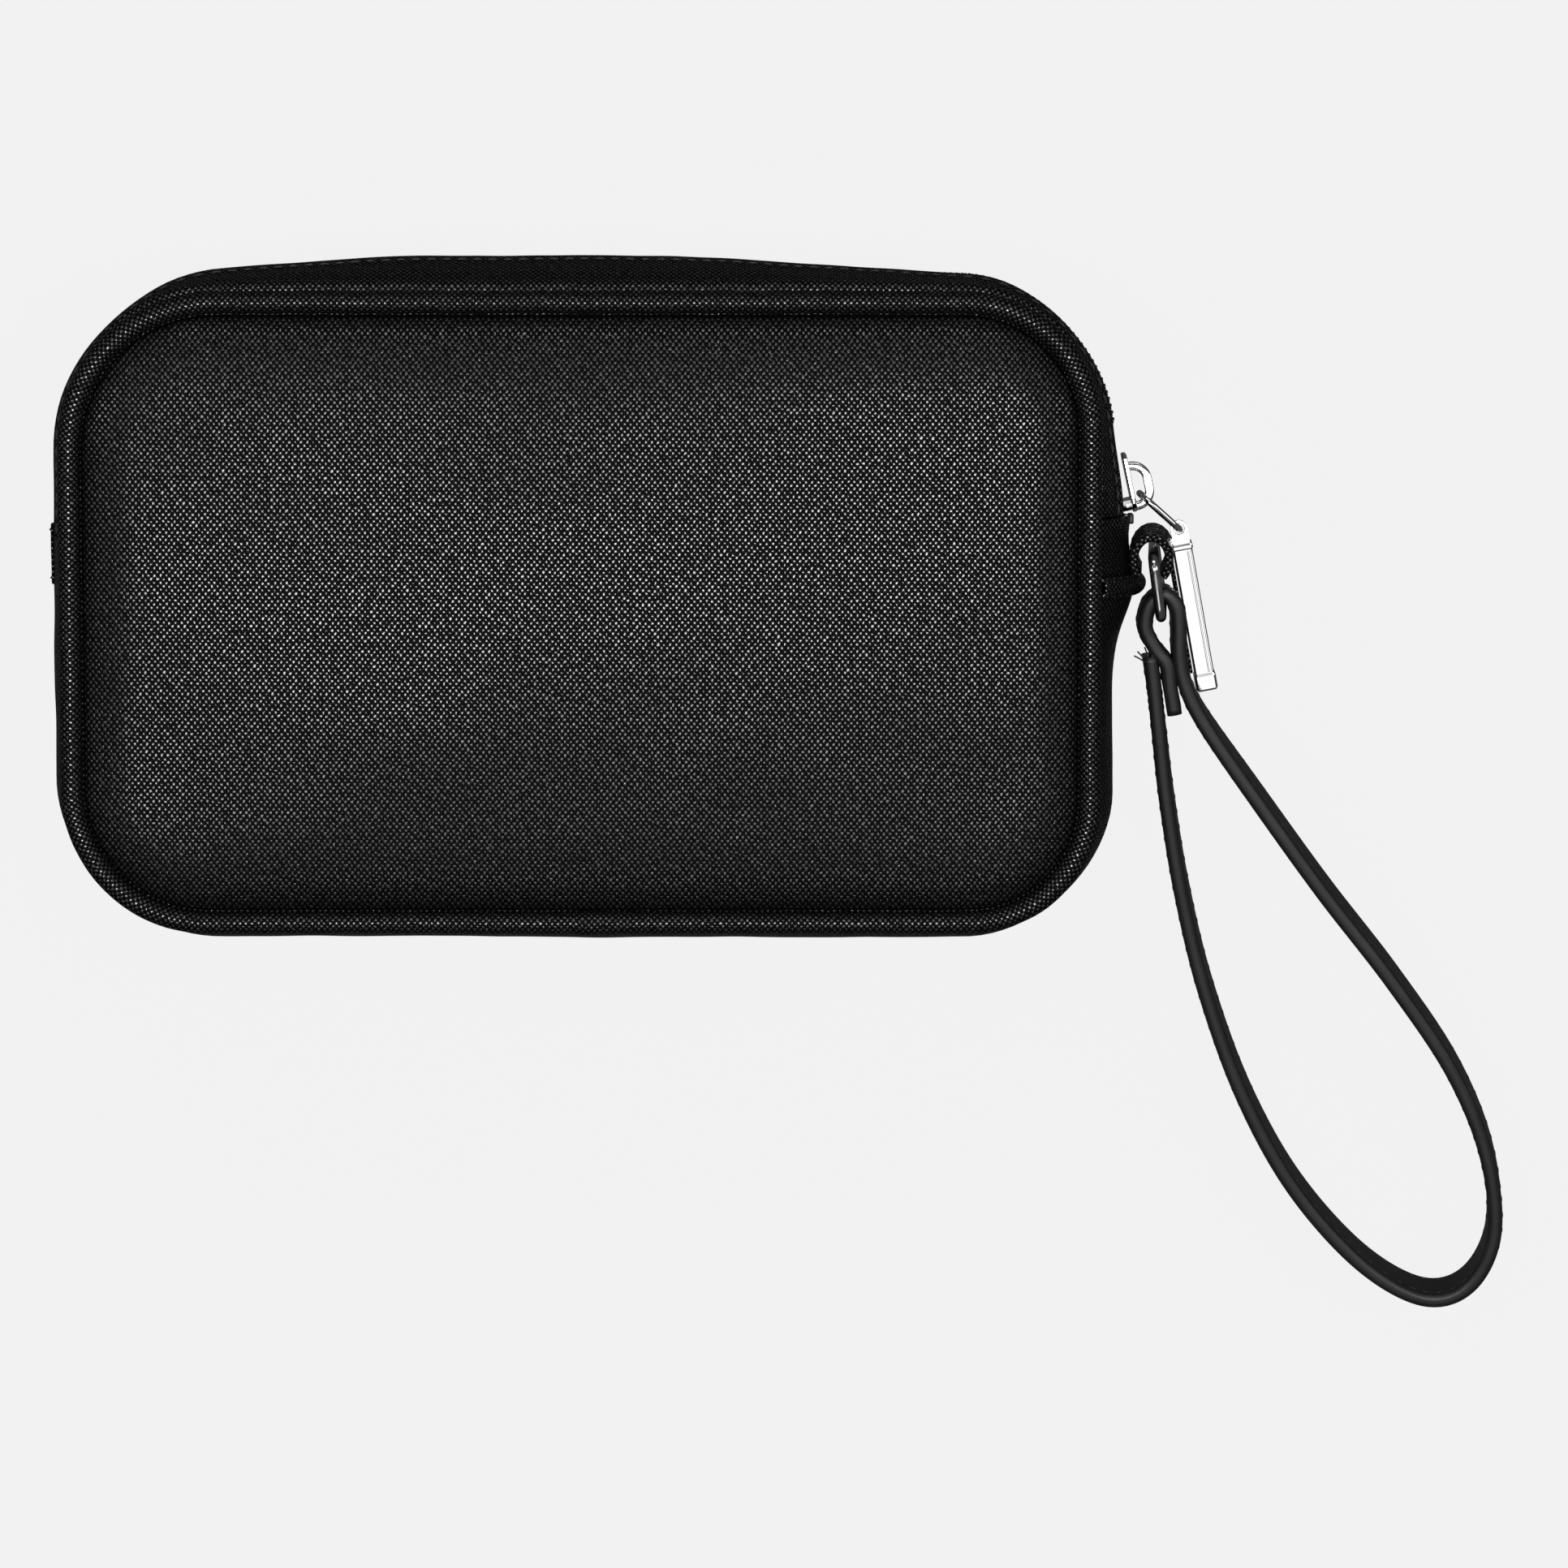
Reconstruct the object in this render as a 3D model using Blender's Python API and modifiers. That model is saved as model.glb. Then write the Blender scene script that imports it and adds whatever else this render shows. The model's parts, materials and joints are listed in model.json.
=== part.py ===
"""Makeup bag: a rounded rectangular case of embossed faux leather, lying on its front panel.

+X runs along the bag to the strap's side, +Y to the zip's long run, and +Z up out of the rear
panel. The origin is the centre of the front panel's flat outer face. Every size is in
millimetres, and the finished objects are in metres.

The zip runs over the +Y side from the left wall to the right wall. The upper half of the rear
panel and the rear half of the zip fold back on a line across the rear panel, which opens the
mouth. The slider runs on the straight stretch of zip on the right wall. A pull hangs on its
bridge, and a tab beside it holds an oval ring and the wrist strap.
"""

import math

import bmesh
import bpy
from mathutils import Matrix, Vector

NAME = "makeup_bag"
MM = 0.001

# Case
HALF_WIDTH = 108.6  # bag centre to the piping's centre line, along X
HALF_HEIGHT = 66.1  # the same along Y
CORNERS = (27.0, 31.0, 29.0, 26.0)  # radii: top right, top left, bottom left, bottom right
DEPTH = 64.0  # front panel's outer face to the crown of the rear panel
PIPING_RADIUS = 2.4
FRONT_PIPING_Z = 5.0
REAR_PIPING_Z = 58.0
LEATHER = 1.2
FOAM = 2.0
LINING = 0.6
GAP = 0.35

# Gusset, the wall between the two pipings
GUSSET_FRONT_Z = FRONT_PIPING_Z + PIPING_RADIUS + GAP
GUSSET_REAR_Z = REAR_PIPING_Z - PIPING_RADIUS - GAP
CORNER_OUT = 4.8  # how far the wall's crest stands outside the piping's centre line
SIDE_OUT = 5.8
TOP_CREST = 3.9
TOP_CREST_X = -6.0
TOP_CREST_REACH = 68.0
TAB_CREST = 4.6
TAB_CREST_Y = 6.0
TAB_CREST_REACH_UP = 28.0
TAB_CREST_REACH_DOWN = 11.0
INNER_SINK = 2.6  # from the wall's outer face to a lining or tape behind it

# Panels
PANEL_INSET = PIPING_RADIUS + GAP
REAR_RIM_Z = 57.2
SHOULDER = 4.0
SHOULDER_REACH = 4.0
CROWN = DEPTH - REAR_RIM_Z - SHOULDER
FRONT_RIM_Z = 5.0
FRONT_FLAT_INSET = 9.0
FOAM_INSET = 9.5

# Fold line of the rear panel, on its outer face
HINGE_Y = 5.0
HINGE_Z = DEPTH
FOLD_Y, FOLD_Z = 0.6, 0.8  # normal of the cut between the fixed half and the flap

# Zip
ZIP_Z = 30.0
ZIP_RIGHT_Y = 20.0
ZIP_LEFT_Y = 16.0
TAPE_HALF = 12.0  # zip line to the folded edge of each leather strip
TAPE_EDGE = 1.9
TAPE = 0.8
TAPE_TUCK = 3.0
TEETH_EDGE = 0.2
TEETH_HALF = 3.0
TEETH = 1.6
TEETH_START_Y = 39.0  # joined teeth begin here, past the slider's travel
END_BLOCK = (2.2, 5.0, 1.2)  # stop below the closed slider: along Y, along Z, thickness
END_BLOCK_Y = 18.8
END_TAB_Y = (5.0, 18.0)  # folded tab over the zip's left end
END_TAB_HALF = 8.0

# Slider and pull
SLIDER_Y = 27.2
SLIDER_LENGTH = 13.0
SLIDER_WIDTH = 8.6
SLIDER_TILT = math.radians(12.0)
PLATE = 1.0
BRIDGE_REACH = 4.2
BRIDGE_LENGTH = 11.6
BRIDGE_SHIFT = -1.3  # of its middle from the slider's, along the zip
BRIDGE_WIDTH = 2.0
BRIDGE_BAR = 1.5
LINK_ALONG = -3.7  # where the link's wire passes through the bridge
LINK_END = Vector((128.9, 16.4, 26.8))
LINK_HALF_WIDTH = 3.3
LINK_WIRE = 0.7
BAR_END = Vector((135.7, -18.4, 19.6))
BAR_WIDTH = 4.2
BAR_DEPTH = 4.2
BAR_HEAD = 3.2  # from the link's wire to the bar's end
EYE_REACH = 4.0  # of the eye beyond the bar's head, into the bar
EYE_WIDTH = 3.9
EYE_THICKNESS = 1.5
EYE_HOLE = 1.35
BACKING = 0.9

# Tab, ring and wrist strap
RING_BOTTOM = Vector((125.0, -2.2, 35.0))
LEAN_X, LEAN_Y = -0.06, -0.205  # the strap stands on edge, leaning and pitched to the ground
RING_TOP_XY = (122.9, 12.4)
RING_WIRE = 1.15
RING_HALF_WIDTH = 8.1
RING_CORNER = 2.6
LOOP_CENTRE = (123.7, 11.4)
LOOP_RADII = (3.7, 4.9)
LOOP_WIDTH = 10.4
LOOP_LEATHER = 1.8
RIB_Y = 5.1
RIB_HEIGHT = 4.8
RIB_FRONT_Z = 14.0
RIB_LEATHER = 2.2
STRAP_WIDTH = 12.0
STRAP_LEATHER = 3.2
STRAP_LAYERS = 3.55  # spacing of the three sewn layers below the ring

BLACK = (0.012, 0.012, 0.013)
MATERIALS = {
    "saffiano": (BLACK, 0.42, 0.0),
    "lining_fabric": ((0.02, 0.02, 0.022), 0.85, 0.0),
    "foam": ((0.08, 0.08, 0.085), 0.95, 0.0),
    "zip_tape": ((0.015, 0.015, 0.016), 0.8, 0.0),
    "zip_coil": ((0.02, 0.02, 0.02), 0.45, 0.0),
    "chrome": ((0.75, 0.75, 0.76), 0.12, 1.0),
    "dark_chrome": ((0.25, 0.25, 0.26), 0.18, 1.0),
    "strap_leather": ((0.02, 0.02, 0.021), 0.6, 0.0),
}


def material(name):
    """The named Principled material, made once."""
    if name in bpy.data.materials:
        return bpy.data.materials[name]
    colour, roughness, metallic = MATERIALS[name]
    made = bpy.data.materials.new(name)
    made.use_nodes = True
    shader = made.node_tree.nodes["Principled BSDF"]
    shader.inputs["Base Color"].default_value = (*colour, 1.0)
    shader.inputs["Roughness"].default_value = roughness
    shader.inputs["Metallic"].default_value = metallic
    made.diffuse_color = (*colour, 1.0)
    return made


def add(name, data, finish, origin=None):
    """An object in the bag's collection, with its origin moved to a joint's axis if given."""
    made = bpy.data.objects.new(name, data)
    data.materials.append(material(finish))
    bpy.data.collections[NAME].objects.link(made)
    if origin is not None:
        data.transform(Matrix.Translation(-origin * MM))
        made.location = origin * MM
    return made


# ---------------------------------------------------------------- outline


def outline_runs():
    """The outline's runs anticlockwise from the middle of the right side.

    Each is (length, start point, direction) for a straight, or (length, centre, radius, angle)
    for a corner.
    """
    top_right, top_left, bottom_left, bottom_right = CORNERS
    width, height = HALF_WIDTH, HALF_HEIGHT
    quarter = math.pi / 2

    def corner(x, y, radius, turn):
        centre = Vector((x - math.copysign(radius, x), y - math.copysign(radius, y)))
        return (quarter * radius, centre, radius, turn * quarter)

    def straight(x0, y0, x1, y1):
        start = Vector((x0, y0))
        way = Vector((x1, y1)) - start
        return (way.length, start, way.normalized())

    return [
        straight(width, 0, width, height - top_right),
        corner(width, height, top_right, 0),
        straight(width - top_right, height, top_left - width, height),
        corner(-width, height, top_left, 1),
        straight(-width, height - top_left, -width, bottom_left - height),
        corner(-width, -height, bottom_left, 2),
        straight(bottom_left - width, -height, width - bottom_right, -height),
        corner(width, -height, bottom_right, 3),
        straight(width, bottom_right - height, width, 0),
    ]


RUNS = outline_runs()
PERIMETER = sum(run[0] for run in RUNS)


def outline_at(distance):
    """The outline's point and outward normal at a distance along it."""
    left = distance % PERIMETER
    for run in RUNS:
        if left <= run[0] + 1e-9:
            break
        left -= run[0]
    if len(run) == 3:
        _, start, way = run
        return start + way * left, Vector((way.y, -way.x))
    _, centre, radius, first = run
    angle = first + left / radius
    normal = Vector((math.cos(angle), math.sin(angle)))
    return centre + normal * radius, normal


def on_right(y):
    """The distance along the outline of a height on the right wall."""
    return y if y >= 0 else PERIMETER + y


def on_left(y):
    """The same on the left wall."""
    return sum(run[0] for run in RUNS[:4]) + (HALF_HEIGHT - CORNERS[1]) - y


def all_stations():
    """Distances where every piece has its rows, so that neighbours' facets run parallel."""
    found = []
    passed = 0.0
    parts_of_run = (5, 6, 8, 6, 5, 6, 8, 6, 5)
    for run, parts in zip(RUNS, parts_of_run):
        found += [passed + run[0] * step / parts for step in range(parts)]
        passed += run[0]
    return found


STATIONS = all_stations()


def stations(start, end):
    """The ends of a stretch and the common stations between them."""
    if end <= start:
        end += PERIMETER
    turned = [s + lap * PERIMETER for lap in (0, 1) for s in STATIONS]
    inner = [s for s in turned if start + 1.5 < s < end - 1.5]
    return [start, *inner, end]


# ---------------------------------------------------------------- surfaces


def crest_out(point, normal):
    """How far the wall's crest stands outside the piping's centre line."""
    squareness = 2 * (normal.x**4 + normal.y**4) - 1
    out = CORNER_OUT + (SIDE_OUT - CORNER_OUT) * squareness
    along = abs((point.x - TOP_CREST_X) / TOP_CREST_REACH)
    out += TOP_CREST * max(normal.y, 0) ** 2 * math.exp(-(along**3))
    along = point.y - TAB_CREST_Y
    fall = (along / TAB_CREST_REACH_UP) ** 3 if along > 0 else (along / TAB_CREST_REACH_DOWN) ** 2
    out += TAB_CREST * max(normal.x, 0) ** 2 * math.exp(-fall)
    return out


def wall_point(distance, z, sink=0.0):
    """A point of the gusset's outer face, or one that lies `sink` behind it."""
    point, normal = outline_at(distance)
    across = (z - GUSSET_FRONT_Z) / (GUSSET_REAR_Z - GUSSET_FRONT_Z)
    out = crest_out(point, normal) * math.sin(math.pi * min(max(across, 0), 1))
    place = point + normal * (out - sink)
    return Vector((place.x, place.y, z))


def rear_height(place, inset):
    """Height of the rear panel's outer face."""
    shoulder = SHOULDER * (1 - math.exp(-(inset - PANEL_INSET) / SHOULDER_REACH))
    crown = (1 - (place.x / HALF_WIDTH) ** 2) * (1 - (place.y / HALF_HEIGHT) ** 2)
    return REAR_RIM_Z + shoulder + CROWN * crown


def front_height(place, inset):
    """Height of the front panel's outer face: flat, and turned up at the rim."""
    turn = max(0.0, (FRONT_FLAT_INSET - inset) / (FRONT_FLAT_INSET - PANEL_INSET))
    return FRONT_RIM_Z * (1 - math.sqrt(max(0.0, 1 - turn * turn)))


def sheet(name, rows, finish, thickness, flip=False, centre=None, closed=False):
    """Rows of points as one open surface, given its thickness by Solidify."""
    bm = bmesh.new()
    grid = [[bm.verts.new(place * MM) for place in row] for row in rows]
    count = len(rows[0])
    for row, after in zip(grid, grid[1:]):
        for i in range(count if closed else count - 1):
            j = (i + 1) % count
            bm.faces.new((row[i], row[j], after[j], after[i]))
    if centre is not None:
        middle = bm.verts.new(centre * MM)
        last = grid[-1]
        for i in range(count):
            bm.faces.new((last[i], last[(i + 1) % count], middle))
    if flip:
        bmesh.ops.reverse_faces(bm, faces=bm.faces)
    mesh = bpy.data.meshes.new(name)
    bm.to_mesh(mesh)
    bm.free()
    made = add(name, mesh, finish)
    solid = made.modifiers.new("thickness", "SOLIDIFY")
    solid.thickness = thickness * MM
    solid.offset = -1.0
    return made


def keep_side(made, point, normal, origin=None):
    """Cut an open sheet along a plane, half a gap short of it, and keep the normal's side."""
    bm = bmesh.new()
    bm.from_mesh(made.data)
    normal = Vector(normal).normalized()
    bmesh.ops.bisect_plane(
        bm,
        geom=[*bm.verts, *bm.edges, *bm.faces],
        dist=1e-7,
        plane_co=(Vector(point) + normal * GAP / 2) * MM,
        plane_no=normal,
        clear_inner=True,
    )
    bm.to_mesh(made.data)
    bm.free()
    if origin is not None:
        made.data.transform(Matrix.Translation(-origin * MM))
        made.location = origin * MM
    return made


def wall_strip(name, start, end, low, high, parts, finish, thickness, sink=0.0):
    """A strip of the wall between two distances along the outline and two depths."""
    places = stations(start, end)
    rows = []
    for step in range(parts + 1):
        z = low + (high - low) * step / parts
        rows.append([wall_point(distance, z, sink) for distance in places])
    return sheet(name, rows, finish, thickness)


def panel(name, height, finish, thickness, first_inset, sink, flip):
    """A rounded rectangular sheet made of rings from its rim to its centre."""
    insets = [first_inset]
    insets += [inset for inset in (4.2, 6.4, FRONT_FLAT_INSET, 14.0, 21.0) if inset > first_inset]
    rows = []
    for inset in insets:
        row = []
        for distance in STATIONS:
            point, normal = outline_at(distance)
            place = point - normal * inset
            row.append(Vector((place.x, place.y, height(place, inset) + sink)))
        rows.append(row)
    inner = rows[-1]
    for share in (0.66, 0.33):
        row = []
        for outer in inner:
            place = outer * share
            row.append(Vector((place.x, place.y, height(place, insets[-1]) + sink)))
        rows.append(row)
    middle = Vector((0, 0))
    centre = Vector((0, 0, height(middle, insets[-1]) + sink))
    return sheet(name, rows, finish, thickness, flip, centre, closed=True)


def tube(name, points, radius, finish, closed=False, origin=None):
    """A round wire or cord along a list of points."""
    curve = bpy.data.curves.new(name, "CURVE")
    curve.dimensions = "3D"
    curve.bevel_depth = radius * MM
    curve.bevel_resolution = 2
    curve.use_fill_caps = not closed
    spline = curve.splines.new("POLY")
    spline.points.add(len(points) - 1)
    for knot, place in zip(spline.points, points):
        knot.co = (*(place * MM), 1.0)
    spline.use_cyclic_u = closed
    return add(name, curve, finish, origin)


def piping(name, z, finish, start=None, end=None, origin=None):
    """The covered cord around a panel, whole or between two distances."""
    closed = start is None
    places = STATIONS if closed else stations(start, end)
    points = []
    for distance in places:
        point, _ = outline_at(distance)
        points.append(Vector((point.x, point.y, z)))
    return tube(name, points, PIPING_RADIUS, finish, closed, origin)


# ---------------------------------------------------------------- case


def fold_y(z):
    """Where the cut between the fixed half and the flap passes at a height."""
    return HINGE_Y + (HINGE_Z - z) * FOLD_Z / FOLD_Y


def build_front():
    """Front panel, its foam and lining, and the piping around it."""
    panel("front_panel", front_height, "saffiano", LEATHER, PANEL_INSET, 0.0, True)
    foam_z = LEATHER + GAP
    panel("front_foam", front_height, "foam", FOAM, FOAM_INSET, foam_z, True)
    lining_z = foam_z + FOAM + GAP
    panel("front_lining", front_height, "lining_fabric", LINING, FOAM_INSET, lining_z, True)
    piping("front_piping", FRONT_PIPING_Z, "saffiano")


def build_rear():
    """Rear panel, foam and lining in two halves, and the piping in two lengths."""
    hinge = Vector((0, HINGE_Y, HINGE_Z))
    foam_z = -LEATHER - GAP
    layers = (
        ("rear_panel", "saffiano", LEATHER, PANEL_INSET, 0.0),
        ("rear_foam", "foam", FOAM, FOAM_INSET, foam_z),
        ("rear_lining", "lining_fabric", LINING, FOAM_INSET, foam_z - FOAM - GAP),
    )
    for name, finish, thickness, inset, sink in layers:
        for half, side in (("lower", -1), ("upper", 1)):
            whole = panel(f"{name}_{half}", rear_height, finish, thickness, inset, sink, False)
            normal = (0, side * FOLD_Y, side * FOLD_Z)
            keep_side(whole, hinge, normal, hinge if side > 0 else None)
    cut = fold_y(REAR_PIPING_Z)
    low, high = cut - GAP / 2, cut + GAP / 2
    piping("rear_piping_lower", REAR_PIPING_Z, "saffiano", on_left(low), on_right(low))
    piping("rear_piping_upper", REAR_PIPING_Z, "saffiano", on_right(high), on_left(high), hinge)


def build_gusset():
    """The plain wall from zip end to zip end around the bottom, with its lining."""
    start = on_left(ZIP_LEFT_Y - GAP)
    end = on_right(ZIP_RIGHT_Y - GAP)
    low, high = GUSSET_FRONT_Z, GUSSET_REAR_Z
    wall_strip("bottom_gusset", start, end, low, high, 8, "saffiano", LEATHER)
    low, high = low + 2, high - 2
    name = "bottom_gusset_lining"
    wall_strip(name, start + 2, end - 2, low, high, 8, "lining_fabric", LINING, INNER_SINK)


def build_zip():
    """Leather strips, woven tape and coil on both sides of the zip line."""
    hinge = Vector((0, HINGE_Y, HINGE_Z))
    start, end = on_right(ZIP_RIGHT_Y), on_left(ZIP_LEFT_Y)
    teeth_start = on_right(TEETH_START_Y)
    front = ZIP_Z - TAPE_HALF
    rear = ZIP_Z + TAPE_HALF
    pieces = (
        ("zip_strip", start, front, GUSSET_FRONT_Z, rear, GUSSET_REAR_Z, 3, "saffiano", LEATHER, 0),
        (
            "zip_tape",
            start,
            ZIP_Z - TAPE_EDGE,
            front - TAPE_TUCK,
            ZIP_Z + TAPE_EDGE,
            rear + TAPE_TUCK,
            3,
            "zip_tape",
            TAPE,
            INNER_SINK,
        ),
        (
            "zip_teeth",
            teeth_start,
            ZIP_Z - TEETH_EDGE,
            ZIP_Z - TEETH_HALF,
            ZIP_Z + TEETH_EDGE,
            ZIP_Z + TEETH_HALF,
            1,
            "zip_coil",
            TEETH,
            INNER_SINK - TEETH - 0.3,
        ),
    )
    for name, first, front_in, front_out, rear_in, rear_out, parts, finish, thick, sink in pieces:
        low, high = sorted((front_in, front_out))
        wall_strip(f"front_{name}", first, end, low, high, parts, finish, thick, sink)
        for half, side in (("", 1), ("_right", -1), ("_left", -1)):
            low, high = sorted((rear_in, rear_out))
            made = wall_strip(f"rear_{name}{half}", first, end, low, high, parts, finish, thick, sink)
            normal = (0, side * FOLD_Y, side * FOLD_Z)
            keep_side(made, hinge, normal, hinge if side > 0 else None)
            if half:
                way = 1 if half == "_right" else -1
                keep_side(made, (0, 0, 0), (way, 0, 0))


def build_zip_ends():
    """The stop below the closed slider, and the folded tab over the zip's other end."""
    along, width, thickness = END_BLOCK
    stop = box("zip_end_stop", (thickness, along, width), "lining_fabric")
    seat = wall_point(on_right(END_BLOCK_Y), ZIP_Z, -(GAP + thickness / 2))
    stop.location = seat * MM
    low, high = END_TAB_Y
    start, end = on_left(high), on_left(low)
    front, rear = ZIP_Z - END_TAB_HALF, ZIP_Z + END_TAB_HALF
    wall_strip("zip_end_tab", start, end, front, rear, 3, "saffiano", LEATHER, -LEATHER - GAP)


# ---------------------------------------------------------------- slider and pull


def box(name, size, finish):
    """A box primitive centred at the origin, as a mesh object."""
    bm = bmesh.new()
    bmesh.ops.create_cube(bm, size=1.0, matrix=Matrix.Diagonal((*(Vector(size) * MM), 1.0)))
    mesh = bpy.data.meshes.new(name)
    bm.to_mesh(mesh)
    bm.free()
    return add(name, mesh, finish)


def frame_at(place, along, up):
    """A matrix with X along one direction and Z near another, at a place in millimetres."""
    x = along.normalized()
    y = up.cross(x).normalized()
    z = x.cross(y)
    turn = Matrix((x, y, z)).transposed().to_4x4()
    return Matrix.Translation(place * MM) @ turn


def placed_cutter(name, size, matrix):
    """A box in the cutters' collection."""
    cutter = box(name, size, "chrome")
    bpy.data.collections[NAME].objects.unlink(cutter)
    bpy.data.collections["cutters"].objects.link(cutter)
    cutter.matrix_world = matrix
    cutter.hide_render = True
    cutter.display_type = "WIRE"
    return cutter


def join_with(target, other, operation):
    """A Boolean modifier with the exact solver."""
    step = target.modifiers.new(operation.lower(), "BOOLEAN")
    step.operation = operation
    step.solver = "EXACT"
    step.object = other


SLIDER_WAY = Vector((-math.sin(SLIDER_TILT), math.cos(SLIDER_TILT), 0))
SLIDER_OUT = Vector((SLIDER_WAY.y, -SLIDER_WAY.x, 0))


def slider_place(along, outward):
    """A place on the slider: along the zip, and out from the outer plate's underside."""
    seat = wall_point(on_right(SLIDER_Y), ZIP_Z)
    return seat + SLIDER_WAY * along + SLIDER_OUT * outward


def build_slider():
    """Outer and inner plates, the post between them, and the bridge that holds the pull."""
    turn = frame_at(Vector((0, 0, 0)), SLIDER_WAY, SLIDER_OUT)

    def at(along, outward):
        return Matrix.Translation(slider_place(along, outward) * MM) @ turn

    plate = box("slider", (SLIDER_LENGTH, SLIDER_WIDTH, PLATE), "chrome")
    plate.matrix_world = at(0, PLATE / 2)
    inner_gap = INNER_SINK + TAPE + 2.6
    post_length = inner_gap + PLATE
    inner = placed_cutter(
        "slider_inner_plate", (SLIDER_LENGTH * 0.85, SLIDER_WIDTH * 0.7, PLATE), at(0, -inner_gap)
    )
    post = placed_cutter(
        "slider_post", (3.0, 2 * (TAPE_EDGE - 0.6), post_length), at(-4.5, -post_length / 2 + PLATE / 2)
    )
    bridge = placed_cutter(
        "slider_bridge",
        (BRIDGE_LENGTH, BRIDGE_WIDTH, BRIDGE_REACH + 0.2),
        at(BRIDGE_SHIFT, PLATE + BRIDGE_REACH / 2 - 0.1),
    )
    hole = placed_cutter(
        "slider_hole",
        (BRIDGE_LENGTH - 2 * BRIDGE_BAR, BRIDGE_WIDTH * 2, BRIDGE_REACH - BRIDGE_BAR),
        at(BRIDGE_SHIFT, PLATE + (BRIDGE_REACH - BRIDGE_BAR) / 2),
    )
    join_with(plate, inner, "UNION")
    join_with(plate, post, "UNION")
    join_with(plate, bridge, "UNION")
    join_with(plate, hole, "DIFFERENCE")


def oval(centre, along, across, half_length, half_width, corner, steps=4):
    """Points of a rounded rectangle in the plane of two directions."""
    points = []
    corners = ((1, 1, 0), (-1, 1, 1), (-1, -1, 2), (1, -1, 3))
    for x, y, turn in corners:
        for step in range(steps + 1):
            angle = (turn + step / steps) * math.pi / 2
            u = x * (half_length - corner) + corner * math.cos(angle)
            v = y * (half_width - corner) + corner * math.sin(angle)
            points.append(centre + along * u + across * v)
    return points


def build_pull():
    """A wire link on the slider's bridge and a square bar with an eye on the link."""
    start = slider_place(LINK_ALONG, PLATE + (BRIDGE_REACH - BRIDGE_BAR) / 2)
    way = (LINK_END - start).normalized()
    side = Vector((0, 0, 1)).cross(way).normalized()
    across = way.cross(side).normalized()
    centre = (start + LINK_END) / 2
    half = (LINK_END - start).length / 2
    points = oval(centre, way, across, half, LINK_HALF_WIDTH, LINK_HALF_WIDTH * 0.95)
    tube("pull_link", points, LINK_WIRE, "chrome", True, start)

    way = (BAR_END - LINK_END).normalized()
    length = (BAR_END - LINK_END).length
    middle = way * (BAR_HEAD + length) / 2
    up = Vector((0, 0, 1))
    body = box("pull_bar", (length - BAR_HEAD, BAR_WIDTH, BAR_DEPTH), "chrome")
    body.data.transform(frame_at(middle, way, up))
    body.location = LINK_END * MM
    left = way.cross(up).normalized()
    beside = middle + left * (BAR_WIDTH / 2 + GAP + BACKING / 2)
    backing = box("pull_backing", (length - BAR_HEAD - 5, BACKING, BAR_DEPTH - 1), "saffiano")
    backing.data.transform(frame_at(beside, way, up))
    backing.location = LINK_END * MM
    flat = Vector((way.x, way.y, 0)).normalized()
    eye_size = (BAR_HEAD + EYE_REACH, EYE_WIDTH, EYE_THICKNESS)
    eye_place = frame_at(LINK_END + flat * 1.4, flat, up)
    eye = placed_cutter("pull_bar_eye", eye_size, eye_place)
    bm = bmesh.new()
    bmesh.ops.create_cone(
        bm,
        cap_ends=True,
        segments=12,
        radius1=EYE_HOLE * MM,
        radius2=EYE_HOLE * MM,
        depth=4 * EYE_THICKNESS * MM,
    )
    mesh = bpy.data.meshes.new("pull_bar_hole")
    bm.to_mesh(mesh)
    bm.free()
    hole = bpy.data.objects.new("pull_bar_hole", mesh)
    bpy.data.collections["cutters"].objects.link(hole)
    hole.location = LINK_END * MM
    hole.hide_render = True
    hole.display_type = "WIRE"
    join_with(body, eye, "UNION")
    join_with(body, hole, "DIFFERENCE")


# ---------------------------------------------------------------- tab, ring and strap


def strap_axis():
    """The strap's width direction, which the ring's bars also follow."""
    return Vector((LEAN_X, LEAN_Y, 1)).normalized()


def strap_place(x, y):
    """The point of the strap's middle plane above a place in plan."""
    dx, dy = x - RING_BOTTOM.x, y - RING_BOTTOM.y
    return Vector((x, y, RING_BOTTOM.z - LEAN_X * dx - LEAN_Y * dy))


def band(name, route, width, thickness, finish, origin=None):
    """A leather band on edge along a route in the strap's plane."""
    axis = strap_axis()
    rows = [[place + axis * side * width / 2 for place in route] for side in (-1, 1)]
    made = sheet(name, rows, finish, thickness)
    made.modifiers["thickness"].offset = 0.0
    made.modifiers["thickness"].use_even_offset = True
    if origin is not None:
        made.data.transform(Matrix.Translation(-origin * MM))
        made.location = origin * MM
    return made


def smooth_route(knots, spacing):
    """Points along a Catmull-Rom curve through knots in plan, on the strap's plane."""
    points = [Vector(knot) for knot in knots]
    padded = [2 * points[0] - points[1], *points, 2 * points[-1] - points[-2]]
    found = []
    for i in range(1, len(padded) - 2):
        before, here, there, after = padded[i - 1 : i + 3]
        steps = max(1, round((there - here).length / spacing))
        for step in range(steps):
            t = step / steps
            place = 0.5 * (
                2 * here
                + (there - before) * t
                + (2 * before - 5 * here + 4 * there - after) * t**2
                + (3 * here - before - 3 * there + after) * t**3
            )
            found.append(place)
    found.append(points[-1])
    return [strap_place(place.x, place.y) for place in found]


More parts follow.
